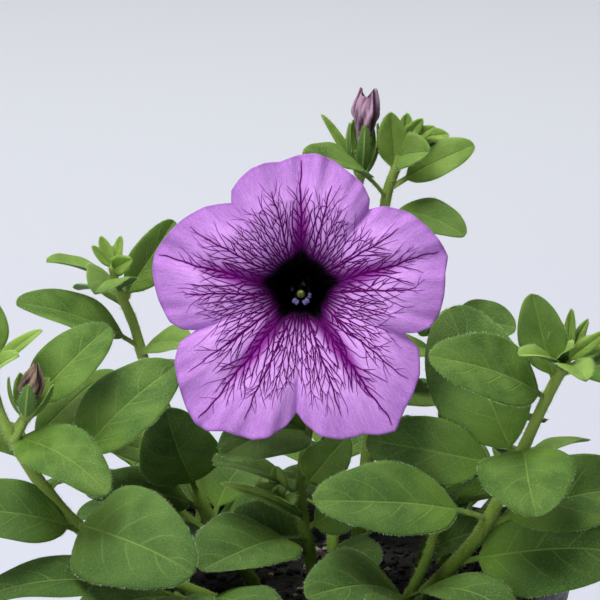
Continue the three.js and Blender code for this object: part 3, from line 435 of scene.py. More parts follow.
SHOOTS = [
    {"name": "shoot_front_right", "stems": [
        {"spine": [[20, -12, BURIED_TO], [20, -12, 83], [26, -17, 92], [35, -22, 104], [41, -24, 116],
            [45, -24, 125], [51, -22, 138], [56, -20, 147]],
         "radius": [2, 1.2], "leaves": [
            [2.4, [70, -30, 102], 26, [0, -0.78, 0.62], 0.12, 0.2],
            [3.4, [-4, -46, 119.5], 20, [0, -0.72, 0.7], 0.07, 0.2, 0.22],
            [3.2, [76, -18, 115], 21.5, [0, -0.65, 0.76], 0.1, 0.2],
            [4.7, [9, -13, 126.5], 16.5, [-0.05, -0.98, 0.15], 0.08, 0.2],
            [5.1, [47.5, -45, 115.5], 23, [-0.05, -0.6, 0.8], 0.12, 0.15, 0.06],
            [4.8, [29, -8, 157], 24, [-0.25, -0.9, 0.35], 0.05, 0.25, 0.1],
            [6, [23, -35, 152], 17.5, [0.1, -0.75, 0.65], 0.1, 0.2, 0.1],
            [6.4, [47, -22, 163.5], 11.5, [-0.15, -0.95, 0.2], -0.03, 0.3, 0.1],
            [6.7, [44, -32, 151], 7, [-0.2, -0.5, 0.8], 0.1, 0.4],
            [6.7, [60, -36, 146], 9, [0.1, -0.5, 0.85], 0.14, 0.3, 0.1],
            [6.6, [75, -14, 144], 14, [0.3, -0.6, 0.75], 0.1, 0.3],
            [7, [57, -18, 159], 3, [0, -1, 0.2], -0.05, 0.3, 0.05],
            [7, [61, -16, 156], 3.2, [0.3, -0.9, 0.2], -0.08, 0.3, 0.05],
            [7, [65, -20, 154], 3.6, [0.2, -0.8, 0.5], -0.1, 0.3, 0.05],
            [7, [52, -22, 155], 4, [-0.3, -0.9, 0.3], -0.05, 0.5, 0.05],
            [7, [54, -13, 155], 4, [0, 0.9, 0.3], 0.1, 0.3, 0.05],
            [7, [65, -15, 151], 5.5, [0.3, -0.8, 0.5], 0.06, 0.4, 0.1],
            [6.9, [57, -29, 152.5], 5.5, [0, -0.75, 0.65], 0.08, 0.4, 0.1],
         ]},
    ]},
    {"name": "shoot_front_left", "stems": [
        {"spine": [[-22, -18, BURIED_TO], [-22, -18, 83], [-38, -22, 93], [-56, -24, 104], [-67, -25, 116],
            [-75, -25, 129], [-79, -24, 138], [-80, -22, 147]],
         "radius": [2, 1.2], "leaves": [
            [3.1, [-92, -36, 115], 17.5, [-0.1, -0.68, 0.72], 0.1, 0.2],
            [3.3, [-32, -57, 105], 26, [-0.3, -0.76, 0.58], 0.13, 0.12, 0.08],
            [4, [-37, -12, 144], 19, [-0.35, -0.8, 0.5], 0.06, 0.2, 0.28],
            [4.7, [-52, -2, 140], 11, [0, -0.5, 0.85], 0.06, 0.2],
            [5, [-52, -45, 121], 16, [0, -0.6, 0.8], 0.14, 0.15, 0.08],
            [5.1, [-52, -15, 153.5], 15, [-0.35, -0.8, 0.5], 0.1, 0.2, 0.26],
            [6.9, [-81, -22, 163], 9, [0.3, -0.9, 0.2], -0.04, 0.3, 0.1],
            [6.8, [-68, -23, 155], 4, [-0.2, -0.7, 0.7], 0.05, 0.4, 0.05],
            [6.6, [-73, -32, 151], 5.5, [0.2, -0.7, 0.7], 0.08, 0.4, 0.05],
            [6.5, [-92, -14, 150], 10, [-0.3, -0.2, 0.9], 0.1, 0.3],
            [6, [-93, -30, 140], 11, [-0.2, -0.5, 0.85], 0.12, 0.2],
            [4.4, [-88, -4, 126], 13, [-0.3, 0.2, 0.9], 0.12, 0.2],
         ]},
        {"from": 4.8, "spine": [[-74, -28, 130], [-71.7, -28.5, 135]],
         "radius": [1.1, 1], "leaves": []},
    ], "calyces": [
        {"at": [-71.5, -28.5, 136], "toward": [0.15, 0, 1], "cup": 2, "sepals": 8.5, "spread": 0.42,
         "width": 4.2, "turn": 0.4},
    ]},
    {"name": "shoot_left", "stems": [
        {"spine": [[-18, 6, BURIED_TO], [-18, 6, 83], [-28, 10, 97], [-35, 14, 112], [-40, 18, 125],
            [-45, 20, 136], [-48, 22, 146], [-52, 24, 155], [-53, 24, 160]],
         "radius": [1.9, 1], "leaves": [
            [1.6, [-38, -14, 99], 17, [-0.1, -0.4, 0.9], 0.12, 0.2],
            [2.1, [-20, 34, 108], 16, [0.1, 0.1, 0.95], 0.12, 0.2],
            [1.9, [-10, 4, 106], 13, [0.2, -0.5, 0.85], 0.12, 0.2],
            [2.3, [-59, -3, 110], 15, [-0.2, -0.6, 0.8], 0.1, 0.2],
            [2.6, [-40, -8, 132], 20, [-0.1, -0.9, 0.4], 0.06, 0.2],
            [2.9, [-56, -4, 122], 11, [-0.2, -0.7, 0.7], 0.1, 0.2],
            [3.3, [-66, 28, 117], 15, [-0.2, 0.2, 0.95], 0.12, 0.2],
            [4.2, [-34, 46, 130], 15, [0, 0.5, 0.85], 0.12, 0.2],
            [5.4, [-76, 12, 153], 16, [0, -0.4, 0.9], 0.08, 0.22],
            [5.3, [-34, 8, 143.5], 11.5, [0.1, -0.6, 0.8], 0.12, 0.2],
            [6.6, [-38, 30, 170], 11, [0.45, -0.8, 0.3], -0.03, 0.3, 0.1],
            [6.8, [-57, 5, 157.5], 12, [0, -0.6, 0.8], 0.16, 0.45, 0.1],
            [7, [-69, 20, 162], 9, [-0.1, -0.15, 1], 0.08, 0.3],
            [6.2, [-62, 42, 150], 11.5, [-0.2, 0.5, 0.85], 0.12, 0.2],
            [7.9, [-58, 24, 165], 2.8, [0.5, -0.8, 0.2], -0.05, 0.3, 0.05],
            [7.9, [-56, 26, 167], 3.2, [0, -1, 0.2], -0.05, 0.3, 0.05],
            [7.9, [-51, 26, 167], 3.2, [-0.5, -0.8, 0.2], -0.05, 0.3, 0.05],
            [7.8, [-53, 32, 163], 4, [0, 0.8, 0.5], 0.1, 0.3, 0.05],
            [7.8, [-48, 18, 163], 5, [0.3, -0.85, 0.4], 0.06, 0.4, 0.05],
         ]},
    ]},
    {"name": "shoot_top", "stems": [
        {"spine": [[6, 14, BURIED_TO], [6, 14, 83], [8, 17, 100], [10, 20, 118], [12, 22, 136],
            [13, 23, 152], [13, 24, 168], [14, 24, 178], [17, 23, 187], [18, 23, 192]],
         "radius": [2, 1], "leaves": [
            [1.5, [24, 0, 103], 15, [0.2, -0.5, 0.85], 0.12, 0.2],
            [1.9, [-12, 4, 112], 14, [-0.2, -0.6, 0.8], 0.1, 0.2],
            [2.8, [22, 4, 122], 13, [0.1, -0.6, 0.8], 0.1, 0.2],
            [3.4, [34, 46, 122], 16, [0.2, 0.4, 0.9], 0.12, 0.2],
            [4.3, [-10, 48, 142], 15, [-0.1, 0.5, 0.85], 0.12, 0.2],
            [5.1, [21, 50, 158], 13, [0.2, 0.5, 0.85], 0.12, 0.2],
            [5.7, [0, 50, 168], 13, [0, 0.5, 0.85], 0.12, 0.2],
            [6.4, [32.5, 10, 170.5], 12, [0, -0.5, 0.87], 0.14, 0.2],
            [6.9, [-6, 5, 191], 13, [0, -0.4, 0.92], 0.1, 0.25, 0.3],
            [7.1, [35, 20, 191], 11, [0.1, -0.65, 0.75], 0.04, 0.25, 0.24],
            [7.4, [18, 44, 187], 11, [0.1, 0.5, 0.85], 0.12, 0.2],
            [8, [24, 12, 190.5], 10, [-0.1, -0.85, 0.5], 0.1, 0.35, 0.1],
            [7.6, [15, 20, 199], 7.5, [-0.1, -0.95, 0.25], -0.04, 0.4, 0.1],
            [8.8, [19, 24, 198], 3.6, [-0.2, -0.9, 0.3], -0.04, 0.4, 0.05],
            [8.8, [22.5, 22, 197], 3.6, [0.2, -0.9, 0.3], -0.05, 0.4, 0.05],
            [8.8, [25.5, 22, 195], 3.6, [0.2, -0.8, 0.5], -0.06, 0.4, 0.05],
            [8.7, [29, 27, 192], 5, [0.2, -0.6, 0.8], 0.06, 0.4, 0.05],
         ]},
        {"from": 5.3, "spine": [[8.4, 24.5, 168], [7, 24.5, 176], [7.6, 24.3, 182.4]],
         "radius": [1.1, 0.9], "leaves": [
            [2.9, [-2, 22, 198], 3, [0, -0.6, 0.8], 0.03, 0.4, 0.05],
         ]},
        {"from": 4.3, "spine": [[7, 18, 148], [0, 11, 156], [-6, 5.6, 160], [-7, 4.6, 160.4]],
         "radius": [1.3, 1.2], "leaves": []},
    ], "calyces": [
        {"at": [7.7, 24.3, 183.2], "toward": [0.04, 0, 1], "cup": 1.9, "sepals": 12.5, "spread": 0.13,
         "width": 3.6, "turn": 0.9},
        {"at": [-7, 4.6, 160.4], "toward": [0, -0.99, 0.139], "cup": 3, "sepals": 14,
         "spread": 0.34, "width": 4},
    ]},
    {"name": "shoot_right", "stems": [
        {"spine": [[21, 6, BURIED_TO], [21, 6, 83], [25, 11, 96], [28, 16, 110], [28, 20, 124],
            [27, 22, 136], [25, 22, 144]],
         "radius": [1.8, 1.1], "leaves": [
            [1.5, [43, -2, 100], 15, [0.2, -0.5, 0.85], 0.12, 0.2],
            [1.8, [34, 34, 106], 15, [0.1, 0.1, 0.95], 0.12, 0.2],
            [2.5, [12, -4, 112], 15, [-0.2, -0.6, 0.8], 0.1, 0.2],
            [2.3, [58, 24, 101], 17, [0.2, 0, 1], 0.12, 0.2],
            [3, [38, -2, 116], 13, [0.1, -0.7, 0.7], 0.1, 0.2],
            [3.2, [54, 42, 116], 15, [0.2, 0.4, 0.9], 0.12, 0.2],
            [4.4, [50, 34, 134], 14, [0.3, 0.3, 0.9], 0.12, 0.2],
            [4.2, [12, 4, 132], 13, [-0.3, -0.7, 0.6], 0.1, 0.2],
            [5.2, [15, 6, 142], 10.6, [-0.2, -0.7, 0.7], 0.1, 0.2],
            [5.7, [45.5, 18, 146], 16, [0.1, -0.5, 0.85], 0.12, 0.2],
            [5.9, [30, 12, 150], 6, [0.2, -0.7, 0.6], 0.1, 0.4, 0.1],
            [5.9, [22, 16, 150], 5, [-0.3, -0.7, 0.6], 0.1, 0.4, 0.1],
         ]},
    ]},
    {"name": "shoot_centre", "stems": [
        {"spine": [[-3, -6, BURIED_TO], [-3, -6, 84], [-5, -8, 97], [-7, -9, 110], [-6, -6, 122],
            [-4, -2, 132]],
         "radius": [1.8, 1.1], "leaves": [
            [1.5, [12, -24, 98], 16, [0.2, -0.6, 0.8], 0.12, 0.2],
            [1.8, [-24, -12, 106], 17, [-0.2, -0.6, 0.8], 0.1, 0.2],
            [2.2, [-30, -46, 102.5], 23, [-0.35, -0.8, 0.5], 0.07, 0.25, 0.26],
            [2.4, [11, -14, 112], 12, [0.1, -0.8, 0.6], 0.08, 0.25],
            [2.6, [-26, -28, 119], 3.2, [0.4, -0.8, 0.4], 0.12, 0.4, 0.1],
            [3, [-28, -16, 121], 13, [-0.5, -0.3, 0.8], 0.1, 0.25, 0.2],
            [3.2, [4, -18, 128], 11, [0.3, -0.85, 0.4], 0.05, 0.25, 0.2],
            [4.3, [-26, -31, 126.5], 17, [-0.2, -0.8, 0.55], 0.12, 0.2, 0.1],
            [4.2, [-12, -12, 132], 6, [0.2, -0.9, 0.3], -0.05, 0.4, 0.1],
            [4.6, [10, 0, 141], 9, [0.2, -0.5, 0.8], 0.1, 0.3, 0.1],
            [4.8, [-18, 2, 142], 8, [-0.3, -0.4, 0.85], 0.1, 0.3, 0.1],
         ]},
        {"from": 2.7, "spine": [[-11, -14, 109], [-12.5, -17, 112.5]],
         "radius": [1, 0.8], "leaves": [
            [1.6, [-13, -16, 120], 5, [0.2, -0.9, 0.3], -0.04, 0.4, 0.1],
            [1.8, [-18, -20, 116], 5, [-0.2, -0.8, 0.5], 0.08, 0.4, 0.1],
            [1.8, [-9, -25, 113], 5.5, [0.2, -0.6, 0.8], 0.1, 0.4, 0.1],
            [2, [-12, -22, 117], 3.2, [0, -1, 0.2], -0.05, 0.4, 0.1],
         ]},
    ]},
    {"name": "shoot_low_left", "stems": [
        {"spine": [[-24, -32, BURIED_TO], [-24, -32, 83], [-30, -35, 89], [-37, -37, 94]],
         "radius": [1.7, 1.2], "leaves": [
            [2.2, [-12, -66, 92], 17, [0.1, -0.5, 0.85], 0.17, 0.1],
            [2.5, [-34, -70, 91], 15, [-0.1, -0.5, 0.85], 0.17, 0.1],
            [2.6, [-61, -54, 89], 16, [-0.3, -0.5, 0.85], 0.16, 0.2],
            [3, [-84, -36, 92], 17, [-0.1, -0.35, 0.95], 0.12, 0.2],
         ]},
    ]},
    {"name": "shoot_low_right", "stems": [
        {"spine": [[14, -30, BURIED_TO], [14, -30, 83], [18, -28, 90], [23, -23, 99], [26, -17, 108],
            [27, -14, 114]],
         "radius": [1.6, 1.1], "leaves": [
            [2, [-6, -54, 99], 21, [0, -0.65, 0.75], 0.12, 0.15, 0.1],
            [1.5, [14, -70, 90], 16, [0.1, -0.5, 0.85], 0.16, 0.2],
            [2.1, [44, -50, 92], 15, [0.2, -0.4, 0.9], 0.14, 0.2],
            [3.8, [13, -6, 116], 9, [-0.3, -0.6, 0.7], 0.1, 0.3],
            [4.6, [32, -8, 122], 7, [0.2, -0.8, 0.5], 0.06, 0.3, 0.1],
            [4.9, [24, -9, 123], 5, [-0.1, -0.8, 0.5], 0.05, 0.4, 0.1],
         ]},
    ]},
    {"name": "shoot_back_left", "stems": [
        {"spine": [[-24, 26, BURIED_TO], [-24, 26, 83], [-33, 34, 91], [-42, 42, 97], [-47, 47, 101]],
         "radius": [1.7, 1.1], "leaves": [
            [1.7, [-62, 20, 97], 17, [-0.2, -0.1, 1], 0.12, 0.2],
            [1.8, [-8, 22, 101], 15, [0.1, -0.3, 0.95], 0.12, 0.2],
            [2, [-28, 68, 95], 15, [0, 0.3, 0.95], 0.14, 0.2],
            [3, [-74, 44, 97], 15, [-0.3, 0.1, 0.95], 0.14, 0.2],
            [3.3, [-48, 76, 98], 14, [-0.1, 0.4, 0.9], 0.14, 0.2],
            [3.9, [-64, 60, 107], 9, [-0.3, 0.3, 0.9], 0.1, 0.3],
            [3.9, [-40, 44, 112], 8, [0.2, -0.4, 0.9], 0.08, 0.3],
         ]},
    ]},
    {"name": "shoot_back_right", "stems": [
        {"spine": [[28, 28, BURIED_TO], [28, 28, 83], [36, 35, 91], [43, 41, 98], [48, 45, 102]],
         "radius": [1.7, 1.1], "leaves": [
            [1.9, [66, 12, 97], 14, [0.2, -0.1, 1], 0.14, 0.2],
            [2, [30, 70, 95], 15, [0, 0.3, 0.95], 0.14, 0.2],
            [3, [76, 42, 97], 15, [0.3, 0.1, 0.95], 0.14, 0.2],
            [3.3, [52, 76, 98], 14, [0.1, 0.4, 0.9], 0.14, 0.2],
            [3.9, [66, 58, 107], 9, [0.3, 0.3, 0.9], 0.1, 0.3],
            [3.9, [42, 38, 110], 8, [-0.2, -0.3, 0.9], 0.08, 0.3],
         ]},
    ]},
    {"name": "shoot_back", "stems": [
        {"spine": [[1, 38, BURIED_TO], [1, 38, 83], [1, 45, 91], [0, 54, 97], [0, 60, 101]],
         "radius": [1.7, 1.1], "leaves": [
            [1.8, [-24, 54, 97], 12, [-0.2, 0.2, 0.95], 0.14, 0.2],
            [2.1, [24, 56, 98], 12, [0.2, 0.2, 0.95], 0.14, 0.2],
            [3, [-18, 82, 98], 14, [-0.2, 0.3, 0.95], 0.14, 0.2],
            [3.3, [16, 86, 98], 14, [0.2, 0.3, 0.95], 0.14, 0.2],
            [3.9, [-2, 80, 107], 9, [0, 0.4, 0.9], 0.1, 0.3],
            [3.9, [2, 56, 112], 8, [0, -0.2, 0.95], 0.08, 0.3],
         ]},
    ]},
]


def unit(v):
    return v / np.linalg.norm(v, axis=-1, keepdims=True)


def stem_point(spine, place):
    """The point of the stem's smooth curve at a place counted in points of its spine."""
    knots = np.array([2 * np.array(spine[0]) - spine[1], *spine, 2 * np.array(spine[-1]) - spine[-2]], float)
    before = min(int(place), len(spine) - 2)
    w = place - before
    a, b, c, d = knots[before:before + 4]
    leave, arrive = (c - a) / 2, (d - b) / 2
    return ((2 * w ** 3 - 3 * w ** 2 + 1) * b + (w ** 3 - 2 * w ** 2 + w) * leave
            + (3 * w ** 2 - 2 * w ** 3) * c + (w ** 3 - w ** 2) * arrive)


def leaf_of(base, tip, width, facing, arch, fold, stalk=STALK_SHARE):
    """What a leaf's form depends on, with its own small waves and its tone."""
    base, tip = np.array(base, float), np.array(tip, float)
    length = np.linalg.norm(tip - base)
    ahead = (tip - base) / length
    up = unit(np.array(facing, float) - np.dot(facing, ahead) * ahead)
    young = float(np.clip((14 - width) / 8, 0, 1))
    return dict(base=base, tip=tip, up=up, crown=(base + tip) / 2 + up * 2 * arch * length, width=width,
                length=length, fold=fold, stalk=stalk, young=young, tone=chance.uniform(),
                waves=chance.uniform(0, 2 * math.pi, 4),
                waviness=0.02 * min(width, 20) * chance.uniform(0.6, 1.3))


def blade_half(width, grown):
    """Half the width of a blade from the end of its stalk (0), where it tapers, to its blunt tip (1)."""
    return np.maximum(np.sin(np.pi * grown ** 0.87), 0) ** (0.75 - 0.28 * grown) * width / 2


def bent(leaf, share, t, lift):
    """Places on or over a leaf, in mm. The share runs from -1 to 1 across it, t from -1 at the foot of
    the stalk through 0 at the foot of the blade to 1 at the tip, and lift is the height over the middle."""
    along = np.where(t < 0, leaf["stalk"] * (1 + t), leaf["stalk"] + (1 - leaf["stalk"]) * t)[:, None]
    centre = ((1 - along) ** 2 * leaf["base"] + 2 * along * (1 - along) * leaf["crown"]
              + along ** 2 * leaf["tip"])
    ahead = unit((1 - along) * (leaf["crown"] - leaf["base"]) + along * (leaf["tip"] - leaf["crown"]))
    side = unit(np.cross(ahead, leaf["up"]))
    normal = np.cross(side, ahead)
    grown = np.clip(t, 0, 1)
    outline = blade_half(leaf["width"], grown)
    neck = min(STALK_HALF, leaf["width"] / 5) * (1 - grown)
    half = (outline ** 3 + neck ** 3) ** (1 / 3)
    bent_up = np.sqrt(share ** 2 + 0.004) - 0.063
    pillow = 0.045 * np.sin(np.pi * np.abs(share))
    phase = SIDE_VEINS * vein_phase(share, t)
    quilt = 0.016 * np.cos(2 * np.pi * phase) * np.sin(np.pi * np.abs(share))
    quilt = quilt * (grown > 0) * (leaf["width"] > 7)
    first, second, third, _ = leaf["waves"]
    wave = np.abs(share) ** 3 * leaf["waviness"] * (
        np.sin(7 * t + first + share * 2.2) + 0.6 * np.sin(15 * t * np.sign(share) + second + 3 * share))
    sway = 0.03 * leaf["width"] * np.sin(4 * grown + third) * grown * (leaf["width"] > 7)
    rise = half * (leaf["fold"] * bent_up + (pillow + quilt) * (grown > 0)) + wave * np.minimum(grown * 6, 1)
    across = share * half + sway
    return centre + side * across[:, None] + normal * (rise + lift)[:, None]


def vein_phase(share, t):
    """Whole numbers lie on the side veins, which leave the midrib at an angle and bend towards the tip."""
    return t - 0.24 * np.abs(share) - 0.14 * share ** 2 + np.where(share > 0, 0.5, 0) / SIDE_VEINS


def thickness(leaf, share, t, upper):
    """How far the upper or under face of a leaf stands from its middle."""
    grown = np.clip(t, 0, 1)
    half = np.maximum(blade_half(leaf["width"], grown), 0.4)
    rounded = np.sqrt(np.maximum(1 - share ** 2, 0))
    stalk_part = np.clip(1 - grown * 9, 0, 1)
    body = np.where(upper, 0.35, 0.6) * min(1, leaf["width"] / 8)
    rib = np.where(upper, -0.12, 0.5) * np.exp(-(share * half / 0.5) ** 2) * (1 - grown) ** 0.6
    rib = rib * min(1, leaf["width"] / 12)
    blade = (BLADE_HALF_THICKNESS + rib) * (1 - np.abs(share) ** 9) + 0.03
    return stalk_part * body * rounded + (1 - stalk_part) * blade


def leaf_blank(across, rows):
    """A flat closed blank of a leaf, 2 wide and 2 long: a grid with a thickness."""
    select_none()
    bpy.ops.mesh.primitive_grid_add(x_subdivisions=across, y_subdivisions=rows, size=2)
    made = tidy_object("leaf_blank")
    wall = made.modifiers.new("wall", "SOLIDIFY")
    wall.thickness = 0.2
    wall.offset = 0
    bpy.ops.object.modifier_apply(modifier=wall.name)
    spots, corners = blank_of(made)
    return np.clip(spots, -1, 1), np.array(corners)


BLANKS = {size: leaf_blank(*size) for size in ((24, 44), (18, 32), (12, 22), (8, 15))}


def leaf_solid(leaf):
    """The points, faces and marks of one leaf: where each point is on it, and what it is like."""
    if leaf["width"] > 15 and leaf["tip"][1] < 20:
        size = (24, 44)
    elif leaf["width"] > 10:
        size = (18, 32)
    else:
        size = (12, 22) if leaf["width"] > 5 else (8, 15)
    spots, corners = BLANKS[size]
    share = spots[:, 0]
    row = spots[:, 1]
    t = np.where(row < -0.75, (row + 0.75) * 4, 0)
    blade = (np.maximum(row, -0.75) + 0.75) / 1.75
    t = np.where(row < -0.75, t, 0.5 - 0.5 * np.cos(np.pi * (0.012 + 0.986 * blade)))
    upper = spots[:, 2] > 0
    lift = np.where(upper, 1, -1) * thickness(leaf, share, t, upper)
    points = bent(leaf, share, t, lift)
    marks = np.stack([share, t, upper * 1.0], 1)
    grown = np.clip(t, 0, 1)
    half = blade_half(leaf["width"], grown)
    along = t * leaf["length"] * (1 - leaf["stalk"])
    flat = np.stack([share * half, along, np.full(len(t), 50 * leaf["tone"])], 1)
    kind = np.tile((leaf["tone"], leaf["young"], 0), (len(t), 1))
    return points * MM, corners, marks, flat, kind


def weld(distance, outward=True):
    """Merges the active mesh's points that lie together, and turns its faces outward."""
    bpy.ops.object.mode_set(mode="EDIT")
    bpy.ops.mesh.select_all(action="SELECT")
    bpy.ops.mesh.remove_doubles(threshold=distance)
    if outward:
        bpy.ops.mesh.normals_make_consistent(inside=False)
    bpy.ops.object.mode_set(mode="OBJECT")


def round_bar(points, radii, resolution):
    """The points and faces of a round closed bar through points in mm, with a radius at each."""
    line = bpy.data.curves.new("bar", "CURVE")
    line.dimensions = "3D"
    line.bevel_depth = 1
    line.bevel_resolution = resolution
    line.use_fill_caps = True
    course = line.splines.new("POLY")
    course.points.add(len(points) - 1)
    for knot, point, radius in zip(course.points, points, radii):
        knot.co = (*point, 1)
        knot.radius = radius
    made = placed("bar", line)
    select_none()
    made.select_set(True)
    bpy.context.view_layer.objects.active = made
    bpy.ops.object.convert(target="MESH")
    weld(1e-4)
    return blank_of(bpy.context.active_object)


def spikes(roots, aims, lengths, radius):
    """Hairs as slim three-sided spikes, in mm, each on its root and leaning a little its own way."""
    count = len(roots)
    aims = unit(unit(aims) + chance.normal(0, 0.22, (count, 3)))
    side = unit(np.cross(aims, (0.31, 0.52, 0.79)))
    other = np.cross(aims, side)
    points = np.empty((count, 4, 3))
    for k in range(3):
        angle = 2 * math.pi * k / 3
        points[:, k] = roots + radius * (math.cos(angle) * side + math.sin(angle) * other)
    points[:, 3] = roots + aims * lengths[:, None]
    first = 4 * np.arange(count)[:, None, None]
    corners = first + np.array([[0, 1, 3], [1, 2, 3], [2, 0, 3], [0, 2, 1]])
    return points.reshape(-1, 3) * MM, corners.reshape(-1, 3)


def leaf_hairs(leaf):
    """Hairs of one leaf: short ones over its upper face, longer ones along its edge and stalk."""
    area = 0.7 * leaf["length"] * leaf["width"] * (1 - leaf["stalk"])
    over = int(HAIRS_PER_FACE * area) if leaf["width"] > 7 else 0
    edge = int(HAIRS_PER_EDGE * 2.1 * leaf["length"])
    stalk = int(3 * leaf["stalk"] * leaf["length"] * 2)
    face_share, face_t = chance.uniform(-0.97, 0.97, over), chance.uniform(0.01, 0.98, over)
    edge_share = np.where(chance.uniform(size=edge) < 0.5, -1.0, 1.0)
    edge_t = 0.5 - 0.5 * np.cos(np.pi * chance.uniform(0, 1, edge))
    stalk_share, stalk_t = chance.uniform(-1, 1, stalk), chance.uniform(-0.95, 0, stalk)
    upper = chance.uniform(size=stalk) < 0.5
    sides = np.where(upper, 1, -1)
    out = []
    low = thickness(leaf, face_share, face_t, np.full(over, True))
    foot = bent(leaf, face_share, face_t, low)
    out.append((foot, bent(leaf, face_share, face_t, low + 1) - foot, chance.uniform(0.2, 0.5, over)))
    foot = bent(leaf, edge_share, edge_t, np.zeros(edge))
    aims = unit(foot - bent(leaf, edge_share * 0.8, edge_t, np.full(edge, chance.uniform(-0.2, 0.2))))
    aims[edge_t > 0.93] += unit(leaf["tip"] - leaf["base"])
    out.append((foot, aims, chance.uniform(0.3, 0.75, edge)))
    low = thickness(leaf, stalk_share, stalk_t, upper) * sides
    foot = bent(leaf, stalk_share, stalk_t, low)
    aims = foot - bent(leaf, stalk_share * 0, stalk_t, low * 0)
    out.append((foot, aims, chance.uniform(0.4, 0.9, stalk)))
    return [spikes(roots, aims, lengths, 0.032) for roots, aims, lengths in out if len(roots)]


def stem_hairs(points, radii):
    """Hairs round a stem, as thick along it everywhere."""
    steps = np.linalg.norm(np.diff(points, axis=0), axis=1)
    way = np.concatenate([[0], np.cumsum(steps)])
    above = np.interp(BURIED_TO + 16, points[:, 2], way) if points[0, 2] < BURIED_TO + 1 else 0
    count = int(HAIRS_PER_STEM * (way[-1] - above))
    at = chance.uniform(above, way[-1], count)
    foot = np.stack([np.interp(at, way, points[:, k]) for k in range(3)], 1)
    radius = np.interp(at, way, radii)
    ahead = unit(np.stack([np.interp(at + 0.5, way, points[:, k]) - np.interp(at - 0.5, way, points[:, k])
                           for k in range(3)], 1))
    aims = unit(np.cross(ahead, chance.normal(size=(count, 3))))
    return spikes(foot + aims * radius[:, None] * 0.95, aims, chance.uniform(0.45, 1.1, count), 0.04)


HAIRS_PER_FACE = 0.45
HAIRS_PER_EDGE = 3.6
HAIRS_PER_STEM = 14
STEM_STEPS = 6
CUP_SHAPE = [(-0.9, 0.45), (-0.6, 0.6), (-0.3, 0.85), (0, 1), (0.2, 0.98), (0.35, 0.8)]
SEPALS = 5
SEPAL_ARCH = -0.12
SEPAL_FOLD = 0.2
SEPAL_STALK = 0.05

leaf_green, shader = new_material(
    "leaf_green", Roughness=0.62, Specular_IOR_Level=0.15, Subsurface_Weight=0.2, Subsurface_Scale=0.0014,
    Subsurface_Radius=(0.5, 1, 0.15), Sheen_Weight=0.08, Sheen_Roughness=0.4, Sheen_Tint=paint(200, 225, 160))
share, t, upper, _ = attribute(leaf_green, "blade")
across, _, _, flat = attribute(leaf_green, "flat")
tone, young, *_ = attribute(leaf_green, "kind")
place = object_place(leaf_green)
wide = calc(leaf_green, "ABSOLUTE", share)
offset = calc(leaf_green, "MULTIPLY", calc(leaf_green, "GREATER_THAN", share, 0), 0.5 / SIDE_VEINS)
bend = calc(leaf_green, "MULTIPLY_ADD", calc(leaf_green, "MULTIPLY", wide, wide), -0.14, offset)
phase = calc(leaf_green, "ADD", calc(leaf_green, "MULTIPLY_ADD", wide, -0.24, t), bend)
cloud = grain(leaf_green, flat, 0.13, 3)
phase = calc(leaf_green, "MULTIPLY_ADD", cloud, 0.06, phase)
near = calc(leaf_green, "PINGPONG", calc(leaf_green, "MULTIPLY", phase, SIDE_VEINS), 0.5)
side_vein = calc(leaf_green, "MULTIPLY", ramp(leaf_green, near, 0.0, 0.07, 1, 0),
                 ramp(leaf_green, wide, 0.3, 0.9, 1, 0))
midrib = calc(leaf_green, "MULTIPLY", ramp(leaf_green, calc(leaf_green, "ABSOLUTE", across), 0.06, 0.4, 1, 0),
              ramp(leaf_green, t, 0.75, 1.0, 1, 0.2))
on_blade = ramp(leaf_green, t, 0.0, 0.06)
veins = calc(leaf_green, "MAXIMUM", calc(leaf_green, "MULTIPLY", side_vein, 0.55), midrib)
veins = calc(leaf_green, "MULTIPLY", veins, on_blade)
net_texture = leaf_green.node_tree.nodes.new("ShaderNodeTexVoronoi")
net_texture.feature = "DISTANCE_TO_EDGE"
net_texture.inputs["Scale"].default_value = 0.95
wire(leaf_green, flat, net_texture.inputs["Vector"])
net = ramp(leaf_green, net_texture.outputs["Distance"], 0.0, 0.12, 1, 0)
speckle = grain(leaf_green, flat, 4.5, 2, 0.7)
fuzz = calc(leaf_green, "MULTIPLY", ramp(leaf_green, speckle, 0.52, 0.72),
            ramp(leaf_green, t, 0.1, 0.9, 0.25, 0.8))
mature = blend(leaf_green, ramp(leaf_green, cloud, 0.3, 0.7), paint(54, 88, 18), paint(94, 124, 46))
mature = blend(leaf_green, calc(leaf_green, "MULTIPLY", tone, 0.6), mature, paint(78, 108, 50))
fresh = blend(leaf_green, ramp(leaf_green, cloud, 0.3, 0.7), paint(108, 140, 46), paint(140, 168, 78))
skin = blend(leaf_green, young, mature, fresh)
*_, height_in_plant = place_parts(leaf_green)
# Leaves low in the plant are painted darker: painted shade under the foliage above, together with the darker
# tone of older leaves.
skin = blend(leaf_green, ramp(leaf_green, height_in_plant, 0.09, 0.13, 0.7, 0), skin, paint(38, 68, 10))
skin = blend(leaf_green, ramp(leaf_green, t, 0.45, 0.0, 0, 0.5), skin, paint(104, 140, 36))
skin = blend(leaf_green, calc(leaf_green, "MULTIPLY", net, 0.1), skin, paint(128, 158, 84))
skin = blend(leaf_green, calc(leaf_green, "MULTIPLY", fuzz, 0.48), skin, paint(152, 174, 144))
skin = blend(leaf_green, calc(leaf_green, "MULTIPLY", veins, 0.4), skin, paint(138, 168, 78))
under = blend(leaf_green, calc(leaf_green, "MULTIPLY", veins, 0.9), paint(88, 118, 56), paint(138, 168, 86))
skin = blend(leaf_green, upper, under, skin)
stem_grain = grain(leaf_green, stretched(leaf_green, place, (1, 1, 0.25)), 500, 3)
stem_skin = blend(leaf_green, ramp(leaf_green, height_in_plant, 0.09, 0.15),
                  blend(leaf_green, stem_grain, paint(80, 108, 28), paint(112, 140, 50)),
                  blend(leaf_green, stem_grain, paint(122, 150, 58), paint(156, 178, 92)))
